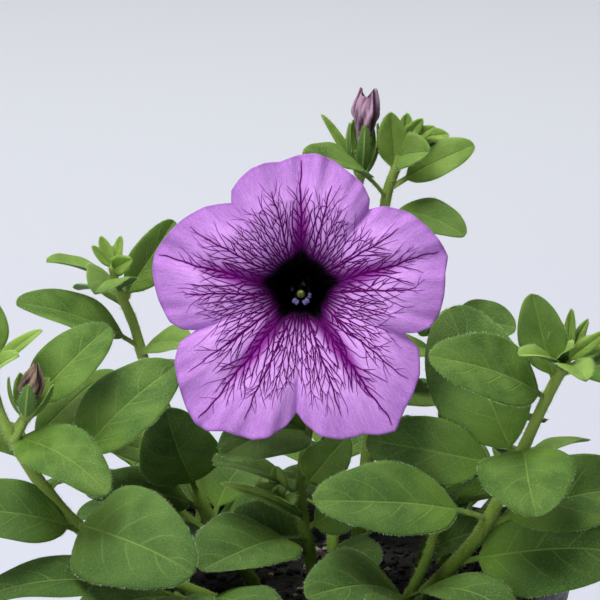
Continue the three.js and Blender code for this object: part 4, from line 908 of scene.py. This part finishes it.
skin = blend(leaf_green, ramp(leaf_green, t, -0.35, 0.04, 1, 0), skin, stem_skin)
wire(leaf_green, skin, shader.inputs["Base Color"])
wire(leaf_green, ramp(leaf_green, speckle, 0.3, 0.7, 0.55, 0.72), shader.inputs["Roughness"])
height = calc(leaf_green, "MULTIPLY_ADD", veins, calc(leaf_green, "MULTIPLY_ADD", upper, -2, 1), speckle)
relief(leaf_green, shader, calc(leaf_green, "MULTIPLY_ADD", net, -0.25, height), 0.00022)

hair, shader = new_material("plant_hair", Roughness=0.4, Subsurface_Weight=0.3, Subsurface_Scale=0.0005)
wire(hair, blend(hair, grain(hair, object_place(hair), 120), paint(150, 180, 112), paint(196, 214, 170)),
     shader.inputs["Base Color"])

leaf_hair_solids, stem_hair_solids = [], []
for shoot in SHOOTS:
    leaves, bars = [], []
    for part in shoot["stems"]:
        spine = part["spine"]
        if "from" in part:
            spine = [stem_point(shoot["stems"][0]["spine"], part["from"]).tolist(), *spine]
        places = np.linspace(0, len(spine) - 1, STEM_STEPS * (len(spine) - 1) + 1)
        course = np.array([stem_point(spine, place) for place in places])
        thick, thin = part["radius"]
        joints = np.array([leaf[0] for leaf in part["leaves"]] or [-9])
        swell = np.exp(-((places[:, None] - joints) / 0.14) ** 2).max(1)
        radii = (thick + (thin - thick) * places / places[-1]) * (1 + 0.1 * swell)
        bars.append(round_bar(course, radii, 3))
        stem_hair_solids.append(stem_hairs(course, radii))
        for where, tip, width, facing, arch, fold, *stalk in part["leaves"]:
            leaves.append(leaf_of(stem_point(spine, where), tip, width, facing, arch, fold, *stalk))
    for cup in shoot.get("calyces", []):
        axis = unit(np.array(cup["toward"], float))
        side = unit(np.cross(axis, (0.2, 0.3, 1)))
        other = np.cross(axis, side)
        at, size = np.array(cup["at"], float), cup["cup"]
        course = np.array([at + axis * size * step for step, _ in CUP_SHAPE])
        radii = np.array([size * radius for _, radius in CUP_SHAPE])
        bars.append(round_bar(course, radii, 4))
        stem_hair_solids.append(stem_hairs(course, radii))
        for i in range(SEPALS):
            angle = cup.get("turn", 0) + 2 * math.pi * i / SEPALS
            out = side * math.cos(angle) + other * math.sin(angle)
            foot = at + out * size * 0.55 - axis * size * 0.25
            tip = at + out * (size + cup["spread"] * cup["sepals"]) + axis * cup["sepals"]
            leaves.append(leaf_of(foot, tip, cup["width"], -out, SEPAL_ARCH, SEPAL_FOLD, SEPAL_STALK))
    points, faces, start = [], [], 0
    marks = {"blade": [], "flat": [], "kind": []}
    for spots, corners in bars:
        points.append(spots * MM)
        faces += [[start + c for c in face] for face in corners]
        start += len(spots)
        marks["blade"].append(np.tile((0, -2, 1), (len(spots), 1)))
        marks["flat"].append(spots)
        marks["kind"].append(np.tile((0.5, 0.3, 0), (len(spots), 1)))
    for leaf in leaves:
        spots, corners, *read = leaf_solid(leaf)
        points.append(spots)
        faces += (corners + start).tolist()
        start += len(spots)
        for name, values in zip(marks, read):
            marks[name].append(values)
        leaf_hair_solids += leaf_hairs(leaf)
    mesh = bpy.data.meshes.new(shoot["name"])
    mesh.from_pydata(np.concatenate(points).tolist(), [], faces)
    for name, values in marks.items():
        keep_at_points(mesh, name, np.concatenate(values))
    piece = placed("leafy_" + shoot["name"], mesh)
    mesh.shade_smooth()
    mesh.materials.append(leaf_green)
    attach(piece, "root")
    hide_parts(shoot["name"])

for name, solids in (("leaf_hairs", leaf_hair_solids), ("stem_hairs", stem_hair_solids)):
    piece = merged(name, solids)
    piece.data.materials.append(hair)
    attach(piece, "root")

# The open flower: five petals grown together into a funnel, thin as cloth, lilac with dark purple veins that
# spread from an almost black throat, its dark purple deepened by painted shade. Its tube stands in the cup of
# sepals on the tall shoot.
FACE_CENTRE = np.array((-7, -28, 165))
FACE_RISE = math.radians(8)
FACE_RIGHT = np.array((1, 0, 0))
FACE_UP = np.array((0, math.sin(FACE_RISE), math.cos(FACE_RISE)))
FACE_OUT = np.array((0, -math.cos(FACE_RISE), math.sin(FACE_RISE)))
FUNNEL = [(3.2, -30), (3.7, -21), (5.2, -13.5), (7.2, -8.5), (9.2, -5)]
FUNNEL_EDGE = 9.2
PETAL_THICKNESS = 0.35
LOBES = (90, 165, 231, 305, 377)
NOTCHES = (50.8, 127.6, 199.8, 268, 338.5, 410.8)
NOTCH_STEPS = (1.0, -0.6, 0.8, -0.4, 0.7)
# The edge of the flower: angle from the right, and reach in mm, lobe by lobe from the notch before it.
EDGE = [
    (50.8, 25.2), (53.9, 27.4), (61, 29.6), (69, 30.7), (78, 32.3), (84, 33), (91, 32.4), (99, 31.2),
    (105.5, 31.8), (112, 31.5), (119, 30.3), (124, 29.1),
    (127.6, 26.7), (133, 28.6), (138.5, 30.4), (148, 32.8), (158, 34.5), (165, 35.5), (171, 35.3),
    (182.5, 33.5), (192.5, 31.5), (197.5, 29),
    (199.8, 26.2), (202.2, 30.8), (208.6, 33.8), (217, 35.8), (225, 38.1), (231, 39.3), (235, 39.1),
    (241, 36.8), (251, 36), (257.5, 34.4), (264, 31),
    (268, 28), (271.5, 30.4), (277, 33.3), (286, 35.6), (294, 35.9), (299, 37.8), (304.6, 39.2),
    (312, 36.5), (319, 35.1), (325.5, 33.9), (335, 30.5),
    (338.5, 25.8), (341.3, 28.8), (345, 31.2), (350, 32.7), (359, 33.6), (368, 34.2), (374, 35.6),
    (381, 34.8), (389, 33.3), (397, 31.6), (406.5, 28.2),
]
EDGE_ANGLES = np.array([angle for angle, _ in EDGE] + [410.8])
EDGE_REACHES = np.array([reach for _, reach in EDGE] + [25.2])
COLUMNS_PER_STEP = 6
FLOOR_ROWS, TUBE_ROWS, LIMB_ROWS = 2, 16, 52


def edge_angle(angle):
    """The same direction in degrees, counted on from the first notch."""
    return (angle - NOTCHES[0]) % 360 + NOTCHES[0]


def reach_at(angle):
    return np.interp(edge_angle(angle), EDGE_ANGLES, EDGE_REACHES)


def lobe_share(angle):
    """1 in the middle of a petal, 0 at a notch."""
    stops = sorted([(notch, 0) for notch in NOTCHES] + [(lobe, 1) for lobe in LOBES])
    return np.interp(edge_angle(angle), [a for a, _ in stops], [s for _, s in stops])


def limb_out(radius, angle):
    """How far the open part stands before or behind the face, in mm."""
    angle = edge_angle(angle)
    share, reach = lobe_share(angle), reach_at(angle)
    grown = np.clip((radius - FUNNEL_EDGE) / 12, 0, 1)
    out = -5 * np.exp(-(radius - FUNNEL_EDGE) / 5) + 0.6 * grown
    out = out - 0.9 * grown * np.exp(-((1 - share) / 0.16) ** 2) - 0.8 * grown * (1 - share) ** 6
    out = out - 1.6 * np.maximum(radius / reach - 0.7, 0) / 0.3 - 0.0007 * (radius - FUNNEL_EDGE) ** 2
    far = np.clip((radius - 13) / 12, 0, 1)
    for notch, step in zip(NOTCHES, NOTCH_STEPS):
        turn = (angle - notch + 180) % 360 - 180
        out = out + step * far * np.tanh(turn / 1.3) * np.exp(-(turn / 13) ** 2)
    round_trip = np.radians(angle)
    edge = np.clip(radius / reach, 0, 1) ** 4
    out = out + edge * (0.5 * np.sin(17 * round_trip + 1) + 0.4 * np.sin(29 * round_trip + 0.13 * radius)
                        + 0.22 * np.sin(53 * round_trip + 2))
    pleat = 0.05 * np.sin(40 * round_trip + 1.2 * np.sin(0.3 * radius))
    pleat = pleat + 0.04 * np.sin(67 * round_trip + 0.2 * radius)
    low = np.maximum(-radius * np.sin(round_trip) - 6, 0) / 30
    return out + 4.2 * low ** 1.6 + grown * (0.45 * np.sin(np.pi * share) + pleat)


def on_flower(right, up, out):
    parts = np.stack([right, up, out], 1)
    return FACE_CENTRE + parts @ np.stack([FACE_RIGHT, FACE_UP, FACE_OUT])


columns = (len(EDGE_ANGLES) - 1) * COLUMNS_PER_STEP
rows = FLOOR_ROWS + TUBE_ROWS + LIMB_ROWS
select_none()
bpy.ops.mesh.primitive_grid_add(x_subdivisions=columns, y_subdivisions=rows, size=2)
corolla = tidy_object("flower_petals")
spots = points_of(corolla.data)
column = (spots[:, 0] + 1) / 2 * columns / COLUMNS_PER_STEP
row = np.rint((spots[:, 1] + 1) / 2 * rows)
angle = np.interp(column, range(len(EDGE_ANGLES)), EDGE_ANGLES)
funnel = np.array([stem_point([(r, 0, out) for r, out in FUNNEL], place)
                   for place in np.linspace(0, len(FUNNEL) - 1, TUBE_ROWS + 1)])
on_tube = np.clip(row - FLOOR_ROWS, 0, TUBE_ROWS).astype(int)
radius = np.where(row < FLOOR_ROWS, funnel[0, 0] * row / FLOOR_ROWS, funnel[on_tube, 0])
out = funnel[on_tube, 2]
limb = np.clip((row - FLOOR_ROWS - TUBE_ROWS) / LIMB_ROWS, 0, 1)
far_radius = FUNNEL_EDGE + (reach_at(angle) - FUNNEL_EDGE) * limb
radius = np.where(limb > 0, far_radius, radius)
out = np.where(limb > 0, limb_out(radius, angle), out)
turn = np.radians(angle)
move_points(corolla.data, on_flower(radius * np.cos(turn), radius * np.sin(turn), out) * MM)
weld(2e-6, outward=False)
facing = sum((face.normal * face.area for face in corolla.data.polygons), Vector())
if facing.dot(Vector(FACE_OUT)) < 0:
    corolla.data.flip_normals()
wall = corolla.modifiers.new("petal_thickness", "SOLIDIFY")
wall.thickness = PETAL_THICKNESS * MM
wall.offset = -1
bpy.context.view_layer.objects.active = corolla
bpy.ops.object.modifier_apply(modifier=wall.name)
corolla.data.shade_smooth()

# Veins: in each petal a strong rib to the edge with a lesser one on each side, and long veins along each
# notch. Side veins leave them all like barbs, bend outwards and join what they meet.
VEIN_STEP = 0.4
VEIN_CELL = 0.4
STAIN_REACH = 0.42
draw = np.random.default_rng(21)
taken = {}
veins = []


def cell_of(u, v):
    return round(u / VEIN_CELL), round(v / VEIN_CELL)


def hook(path, heading, name):
    """The end of a free vein, curled over in an arc until it meets a neighbour, or nothing."""
    curl = draw.choice((-1, 1)) * draw.uniform(0.16, 0.3)
    at, arc = path[-1], []
    if math.hypot(*at) > 0.66 * float(reach_at(math.degrees(math.atan2(at[1], at[0])))):
        return []
    for _ in range(8):
        heading += curl
        at = at + VEIN_STEP * np.array((math.cos(heading), math.sin(heading)))
        arc.append(at)
        if taken.get(cell_of(*at), name) != name:
            return arc
    return []


def walk(start, heading, length, half, parent, outward, fade):
    """Grows one vein from a point in the flower's plane until it is long enough or meets another."""
    name = len(veins)
    at = np.array(start, float)
    path, mine = [at], []
    swerve = draw.normal(0, 0.012)
    for step in range(int(length / VEIN_STEP)):
        radial = math.atan2(at[1], at[0])
        off_radial = (radial - heading + math.pi) % (2 * math.pi) - math.pi
        heading += off_radial * outward + swerve + draw.normal(0, 0.07)
        at = at + VEIN_STEP * np.array((math.cos(heading), math.sin(heading)))
        if math.hypot(*at) > fade * float(reach_at(math.degrees(math.atan2(at[1], at[0])))):
            break
        path.append(at)
        owner = taken.get(cell_of(*at), name)
        if owner != name and not (step < 3 and owner == parent):
            break
        mine.append(cell_of(*at))
    else:
        path += hook(path, heading, name)
    if len(path) < 4:
        return None
    for cell in mine:
        taken[cell] = name
    veins.append((np.array(path), half))
    return name


def rib(angle, offset, last, half):
    """A rib from the throat outwards; the lesser ones start further from the middle and close in."""
    radius = np.arange(6, last, VEIN_STEP)
    wiggle = 0.35 * np.sin(radius * 0.5 + angle) + 0.2 * np.sin(radius * 1.3 + offset)
    turn = np.radians(angle + offset * (1 + 0.35 * np.exp(-(radius - 6) / 4)) + wiggle)
    path = np.stack([radius * np.cos(turn), radius * np.sin(turn)], 1)
    for at in path:
        taken[cell_of(*at)] = len(veins)
    veins.append((path, half))
    return len(veins) - 1


def barbs(name, length, gap, spread, outward, first=0.0):
    """Side veins off one vein, on both sides, from that share of its way to near its end."""
    path, half = veins[name]
    grown = []
    for side in (-1, 1):
        place = first * len(path) + draw.uniform(0.5, 2)
        while place < len(path) - 2:
            at = path[int(place)]
            ahead = path[int(place) + 1] - at
            heading = math.atan2(ahead[1], ahead[0]) + side * draw.uniform(*spread)
            grown.append(walk(at, heading, length * draw.uniform(0.6, 1.3), max(half * 0.6, 0.125), name,
                              outward, draw.uniform(0.68, 0.9)))
            place += gap * draw.uniform(0.75, 1.3)
    return [one for one in grown if one is not None]


mains, notch_veins = [], []
for lobe in LOBES:
    reach = float(reach_at(lobe))
    mains.append(rib(lobe, 0, 0.97 * reach, 0.33))
    for side in (-1, 1):
        mains.append(rib(lobe, side * draw.uniform(14, 16.5), draw.uniform(0.76, 0.86) * reach, 0.25))
for notch in NOTCHES[:5]:
    for offset in (-13, -7.5, -2.5, 2.5, 7.5, 13):
        last = draw.uniform(0.7, 0.93) * float(reach_at(notch)) + abs(offset) * 0.15
        notch_veins.append(rib(notch + offset * 0.85, offset * 0.2, last, 0.18))
side_veins = []
for name in mains:
    side_veins += barbs(name, 12, 6, (0.4, 0.62), 0.014)
for name in notch_veins:
    side_veins += barbs(name, 5.5, 7.5, (0.35, 0.65), 0.02)
for name in side_veins:
    barbs(name, 5, 10, (0.3, 0.55), 0.03, 0.25)


def from_ribs(u, v):
    """How many degrees lie between points in the flower's plane and the nearest midrib."""
    turn = np.degrees(np.arctan2(v, u))
    return np.min([np.abs((turn - lobe + 180) % 360 - 180) for lobe in LOBES], axis=0)


def throat_at(u, v):
    """The distance from the middle of the dark throat, less along the midribs, so that it is a star; the
    middle is set 1.1 mm up as painted shade.
    """
    return np.hypot(u, v - 1.1) - 1.8 * np.exp(-(from_ribs(u, v) / 10) ** 2)


def vein_look(path, half, share):
    """How dark a vein is along its way, and half its width."""
    last = 1.02 + 0.13 * (half > 0.2) + 0.17 * (half > 0.3)
    strength = np.clip((last - share) / 0.4, 0.1, 1)
    taper = np.minimum(1, (np.arange(len(path))[::-1] + 1.5) / 4)
    return strength, half * (0.4 + 0.9 * np.clip(1 - share, 0, 1)) * taper


vein_solids, vein_strength, stained = [], [], []
for path, half in veins:
    radius = np.hypot(*path.T)
    angle = np.degrees(np.arctan2(path[:, 1], path[:, 0]))
    share = radius / reach_at(angle)
    strength, wide = vein_look(path, half, share)
    ahead = np.gradient(path, axis=0)
    side = unit(np.stack([-ahead[:, 1], ahead[:, 0]], 1)) * wide[:, None]
    rings = []
    for across, lift in ((-1, 0.02), (0, 0.085), (1, 0.02), (0, -0.12)):
        spot = path + side * across
        spot_radius = np.maximum(np.hypot(*spot.T), FUNNEL_EDGE)
        spot_angle = np.degrees(np.arctan2(spot[:, 1], spot[:, 0]))
        out = limb_out(spot_radius, spot_angle)
        inner = np.hypot(*spot.T) < FUNNEL_EDGE
        out[inner] = np.interp(np.hypot(*spot[inner].T), funnel[:, 0], funnel[:, 2])
        rings.append(on_flower(spot[:, 0], spot[:, 1], out + lift))
    count = len(path)
    points = np.stack(rings, 1).reshape(-1, 3)
    corners = [[4 * i + 4 + k, 4 * i + 4 + (k + 1) % 4, 4 * i + (k + 1) % 4, 4 * i + k]
               for i in range(count - 1) for k in range(4)]
    corners += [[0, 1, 2, 3], [4 * count - 1, 4 * count - 2, 4 * count - 3, 4 * count - 4]]
    vein_solids.append((points * MM, np.array(corners)))
    vein_strength.append(np.repeat(np.stack([strength, throat_at(*path.T), radius], 1), 4, axis=0))
    stained += [(*at, force) for at, force in zip(path, strength * min(1, half / 0.22))]
petal_veins = merged("petal_veins", vein_solids)
keep_at_points(petal_veins.data, "ink", np.concatenate(vein_strength))
petal_veins.data.shade_smooth()

# What the petals' finish depends on, kept at their points: radius as a share of the reach, place between
# notch and middle, front or back; the stain that spreads round each vein; and the flush along the ribs.
spots = points_of(corolla.data) / MM - FACE_CENTRE
right, up, out = spots @ FACE_RIGHT, spots @ FACE_UP, spots @ FACE_OUT
radius, angle = np.hypot(right, up), np.degrees(np.arctan2(up, right))
nearest = kdtree.KDTree(len(stained))
for i, (u, v, force) in enumerate(stained):
    nearest.insert((u, v, 0), i)
nearest.balance()
halo = np.zeros(len(spots))
for i, (u, v) in enumerate(zip(right, up)):
    _, found, away = nearest.find((u, v, 0))
    halo[i] = stained[found][2] * math.exp(-(away / STAIN_REACH) ** 2)
share = lobe_share(angle)
gone = radius / reach_at(angle)
flush = np.exp(-(from_ribs(right, up) / (3.4 + 34 * np.exp(-radius / 8))) ** 2)
flush = flush * np.clip((0.85 - gone) / 0.4, 0, 1)
throat = throat_at(right, up)
front = np.arange(len(spots)) < len(spots) // 2
for name, values in (
    ("petal", (gone, share, front)),
    ("stain", (halo, flush, throat)),
    ("streak", (16 * right / np.maximum(radius, 1), 16 * up / np.maximum(radius, 1), 0.12 * radius)),
):
    keep_at_points(corolla.data, name, np.stack(values, 1))

petal_skin, shader = new_material(
    "petal_skin", Roughness=0.7, Subsurface_Weight=0.12, Subsurface_Scale=0.0012,
    Subsurface_Radius=(1, 0.5, 1), Sheen_Roughness=0.4, Sheen_Tint=paint(235, 205, 250))
gone, share, front, _ = attribute(petal_skin, "petal")
halo, flush, throat, _ = attribute(petal_skin, "stain")
*_, fibres = attribute(petal_skin, "streak")
place = object_place(petal_skin)
streaks = grain(petal_skin, fibres, 3.5, 4, 0.6)
fine_streaks = grain(petal_skin, fibres, 12, 3, 0.6)
cells_and_glints = grain(petal_skin, place, 4500, 2)
lilac = blend(petal_skin, ramp(petal_skin, streaks, 0.3, 0.7), paint(196, 138, 216), paint(218, 166, 236))
lilac = blend(petal_skin, ramp(petal_skin, gone, 0.62, 0.96, 0, 0.7), lilac,
              blend(petal_skin, streaks, paint(140, 86, 164), paint(166, 108, 188)))
lilac = blend(petal_skin, calc(petal_skin, "MULTIPLY", ramp(petal_skin, fine_streaks, 0.5, 0.7), 0.25), lilac,
              paint(172, 108, 198))
# Lighter flecks from the cell grain: painted glints of the petals' sparkle; the same grain gives their
# relief.
lilac = blend(petal_skin, calc(petal_skin, "MULTIPLY", ramp(petal_skin, cells_and_glints, 0.45, 0.7), 0.3), lilac,
              paint(226, 178, 242))
lilac = blend(petal_skin, ramp(petal_skin, throat, 13.5, 6, 0, 0.95), lilac, paint(54, 4, 58))
flushed = blend(petal_skin, ramp(petal_skin, flush, 0.05, 0.9, 0, 0.93), lilac,
                blend(petal_skin, ramp(petal_skin, throat, 6, 15), paint(26, 0, 28), paint(134, 20, 142)))
veined = blend(petal_skin, ramp(petal_skin, halo, 0.2, 1.0, 0, 0.5), flushed, paint(120, 24, 136))
# Near black within 6 to 8 mm of the throat's middle: the throat's dark purple deepened by painted shade in
# the tube.
dark = blend(petal_skin, ramp(petal_skin, throat, 8.2, 6.0), veined, paint(6, 0, 6))
dark = blend(petal_skin, ramp(petal_skin, gone, 0.965, 1.0, 0, 0.4), dark, paint(128, 72, 156))
back = blend(petal_skin, ramp(petal_skin, share, 0.8, 1.0, 0, 0.5), paint(186, 140, 206), paint(140, 96, 150))
wire(petal_skin, blend(petal_skin, front, back, dark), shader.inputs["Base Color"])
relief(petal_skin, shader, calc(petal_skin, "MULTIPLY_ADD", cells_and_glints, 0.3, fine_streaks), 0.00022)
wire(petal_skin, ramp(petal_skin, throat, 6, 10, 0, 0.1), shader.inputs["Specular IOR Level"])
wire(petal_skin, ramp(petal_skin, throat, 6, 10, 0, 0.06), shader.inputs["Sheen Weight"])
corolla.data.materials.append(petal_skin)

vein_purple, shader = new_material("vein_purple", Roughness=0.8, Specular_IOR_Level=0.05)
strength, throat, *_ = attribute(vein_purple, "ink")
ink = blend(vein_purple, grain(vein_purple, object_place(vein_purple), 900), paint(66, 0, 68),
            paint(98, 2, 102))
ink = blend(vein_purple, strength, paint(160, 78, 178), ink)
# Veins run into the same near black in the throat: painted shade.
wire(vein_purple, blend(vein_purple, ramp(vein_purple, throat, 8.6, 6.0), ink, paint(6, 0, 6)),
     shader.inputs["Base Color"])
petal_veins.data.materials.append(vein_purple)
for piece in (corolla, petal_veins):
    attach(piece, "root")
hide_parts("corolla")

# Inside the tube: five stamens on one ring, each with a blue-grey anther of two lobes dusted with pollen, the
# deeper ones painted dark as shade in the tube and as unopened anthers, round a pistil with a moist green
# stigma that stands just above them.
STAMEN_ANGLES = (-125, -55, -12, 70, 160)
STAMEN_ENDS = (-6.5, -6.5, -7.8, -12, -13)
ANTHER_SIZES = (0.95, 1, 0.7, 0.66, 0.66)
ANTHER_CIRCLE = 2.1
DROOP = 0.7
TUBE_FLOOR = FUNNEL[0][1] + FIT_GAP
RING_RADIUS = 2.1
RING_THICKNESS = 0.45


def drooped(point):
    """A point inside the tube, lowered towards the mouth as the stamens and the style hang there."""
    right, up, out = point
    return right, up - DROOP * min(1, max(0, (out + 20) / 12)), out


def stood(spots):
    """Points given as right, up and out of the flower, in mm, at their place in the plant, in metres."""
    return on_flower(*np.asarray(spots, float).T) * MM


select_none()
bpy.ops.mesh.primitive_uv_sphere_add(segments=20, ring_count=12, radius=1)
ball, ball_corners = blank_of(bpy.context.active_object)
bpy.ops.mesh.primitive_torus_add(major_segments=40, minor_segments=12, major_radius=RING_RADIUS,
                                 minor_radius=RING_THICKNESS)
ring_spots, ring_corners = blank_of(bpy.context.active_object)
filament_solids = [(stood(ring_spots + (0, 0, TUBE_FLOOR + 0.4)), ring_corners)]
anther_solids = []
for degrees, end, size in zip(STAMEN_ANGLES, STAMEN_ENDS, ANTHER_SIZES):
    right, up = math.cos(math.radians(degrees)), math.sin(math.radians(degrees))
    course = [(radius * right, radius * up, out) for radius, out in (
        (RING_RADIUS, TUBE_FLOOR + 0.3), (1.9, -24), (2.0, -17), (ANTHER_CIRCLE, -11),
        (ANTHER_CIRCLE, end - 0.4))]
    course = [drooped(point) for point in course]
    spots, corners = round_bar([stem_point(course, place) for place in np.linspace(0, 4, 17)],
                               np.linspace(0.32, 0.22, 17), 1)
    filament_solids.append((stood(spots), corners))
    for lobe in (-1, 1):
        grooved = ball * (1 - 0.2 * np.exp(-(ball[:, :1] / 0.2) ** 2))
        shape = grooved * (0.5 * size, 0.78 * size, 0.72 * size) + (lobe * 0.38 * size, 0, 0)
        turned = np.stack([shape[:, 0] * -up - shape[:, 1] * right, shape[:, 0] * right - shape[:, 1] * up,
                           shape[:, 2]], 1)
        middle = (ANTHER_CIRCLE * right, ANTHER_CIRCLE * up - DROOP, end)
        anther_solids.append((stood(turned + middle), ball_corners))
pistil_outs = [TUBE_FLOOR, TUBE_FLOOR + 0.8, TUBE_FLOOR + 2.4, TUBE_FLOOR + 3.4, -14, -8, -7, -6.5, -6,
               -5.6, -5.5]
pistil_radii = [0.8, 1.2, 1, 0.4, 0.36, 0.4, 0.65, 0.95, 1, 0.75, 0.3]
spots, corners = round_bar([drooped((0, 0.1, out)) for out in pistil_outs], pistil_radii, 5)
cleft = np.exp(-(spots[:, 0] / 0.25) ** 2) * (spots[:, 2] > -6.3) * 0.3
pistil_solids = [(stood(spots - cleft[:, None] * (0, 0, 1)), corners)]

stamen_skin, shader = new_material("stamen_skin", Roughness=0.6, Specular_IOR_Level=0.3)
mottle = grain(stamen_skin, object_place(stamen_skin), 1800, 3)
wire(stamen_skin, blend(stamen_skin, mottle, paint(30, 12, 34), paint(66, 40, 72)),
     shader.inputs["Base Color"])
pollen, shader = new_material("pollen", Roughness=0.8, Specular_IOR_Level=0.3)
dusting = grain(pollen, object_place(pollen), 5200, 3, 0.7)
_, depth, _ = place_parts(pollen)
dusted = blend(pollen, ramp(pollen, dusting, 0.35, 0.65), paint(62, 56, 92), paint(118, 116, 168))
# Anthers deeper in the tube are painted near black: painted shade, together with the darker colour of
# unopened anthers.
wire(pollen, blend(pollen, ramp(pollen, depth, -0.0212, -0.019, 0, 0.9), dusted, paint(24, 14, 26)),
     shader.inputs["Base Color"])
relief(pollen, shader, dusting, 0.00015)
stigma, shader = new_material("stigma_green", Roughness=0.35, Specular_IOR_Level=0.3)
wire(stigma, blend(stigma, grain(stigma, object_place(stigma), 2600, 3), paint(44, 54, 6), paint(76, 88, 18)),
     shader.inputs["Base Color"])
for name, solids, finish, slot, node in (
    ("stamen_filaments", filament_solids, stamen_skin, "stamen", "stamens"),
    ("anthers", anther_solids, pollen, "stamen", "stamens"),
    ("pistil_and_stigma", pistil_solids, stigma, "pistil", "pistil"),
):
    piece = merged(name, solids)
    piece.data.materials.append(finish)
    piece.data.shade_smooth()
    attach(piece, "root")
    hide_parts(node)

# Two faded flowers: each a spent corolla that has dried on its calyx, rolled up and shrunk to thin paper in
# sharp folds, with painted shade in the folds and painted light on the ridges. The upper one is still mauve
# and ends in two horns round a mouth painted dark as shade; the left one is brown.
FADED_COLUMNS, FADED_ROWS = 60, 44


def faded_flower(name, node, base, tip, radii, horn, mouth, twist, finish):
    select_none()
    bpy.ops.mesh.primitive_grid_add(x_subdivisions=FADED_COLUMNS, y_subdivisions=FADED_ROWS, size=2)
    made = tidy_object(name)
    spots = points_of(made.data)
    angle = np.pi * (spots[:, 0] + 1)
    way = (spots[:, 1] + 1) / 2 * 1.3
    share, back = np.minimum(way, 1), np.clip((way - 1) / 0.3, 0, 1)
    shape = np.array([stem_point([(r, 0, 0) for r in radii], place)[0]
                      for place in np.linspace(0, len(radii) - 1, 101)])
    radius = np.interp(share, np.linspace(0, 1, 101), shape) * np.sqrt(np.clip(share * 12, 0, 1))
    turned = angle - twist * share
    folds = 0.12 * np.cos(5 * turned) + 0.12 * np.sin(3 * turned + 7 * share)
    folds = folds + 0.08 * np.sin(8 * turned - 11 * share)
    folds = folds + 0.05 * np.sin(17 * turned + 5 * np.sin(9 * share))
    radius = radius * (0.9 + folds * np.minimum(1, share * 3)) * (1 - back) ** 0.6
    base, tip = np.array(base, float), np.array(tip, float)
    axis = unit(tip - base)
    side = unit(np.cross(axis, (0, 1, 0.1)))
    other = np.cross(axis, side)
    lift = np.abs(np.cos(angle)) ** 1.6 * horn * share ** 6 * (1 - back) - mouth * np.sin(back * np.pi / 2)
    lift = lift + 0.12 * np.sin(23 * angle) * share ** 8 * (1 - back)
    points = (base + (tip - base) * share[:, None] + axis * lift[:, None]
              + side * (radius * np.cos(angle))[:, None] + other * (radius * np.sin(angle))[:, None])
    move_points(made.data, points * MM)
    # The finish reads these marks to paint shade into the folds and the turned-in mouth, and light onto the
    # ridges.
    keep_at_points(made.data, "paper", np.stack([share, folds * 3 + 0.5, back], 1))
    weld(2e-6)
    made.data.shade_smooth()
    made.data.materials.append(finish)
    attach(made, "root")
    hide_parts(node)


def dried_petal(name, dark, light, foot):
    """Dry petal tissue with fine veins along it: painted shade darkens its folds and mouth, and painted light
    brightens its ridges.
    """
    finish, shader = new_material(name, Roughness=0.8, Specular_IOR_Level=0.25, Sheen_Weight=0.15)
    share, fold, inside, _ = attribute(finish, "paper")
    place = object_place(finish)
    veins = grain(finish, stretched(finish, place, (1, 1, 0.2)), 2200, 4, 0.65)
    fold_shade_and_ridge_light = calc(finish, "MULTIPLY_ADD", veins, 0.5, fold)
    shade = blend(finish, ramp(finish, fold_shade_and_ridge_light, 0.35, 1.1), dark, light)
    shade = blend(finish, ramp(finish, share, 0.45, 0.1), shade, foot)
    # The turned-in mouth is painted near black: painted shade.
    wire(finish, blend(finish, inside, shade, paint(40, 26, 40)), shader.inputs["Base Color"])
    relief(finish, shader, veins, 0.0003)
    return finish


faded_flower("faded_flower_upper", "faded_flower_top", (7.8, 24.3, 184.6), (9, 24.3, 201.8),
             (0.9, 1.0, 1.5, 2.5, 3.3, 2.0), 2.6, 3, 0.9,
             dried_petal("faded_mauve", paint(84, 52, 74), paint(172, 136, 160), paint(150, 138, 120)))
faded_flower("faded_flower_side", "faded_flower_left", (-71.3, -28.5, 137.3),
             (-69.3, -28.5, 148), (0.9, 1.9, 2.9, 2.9, 1.8, 0.5), 0.6, 0.1, 0.7,
             dried_petal("faded_brown", paint(38, 26, 20), paint(126, 104, 86), paint(84, 84, 48)))

bpy.context.view_layer.update()
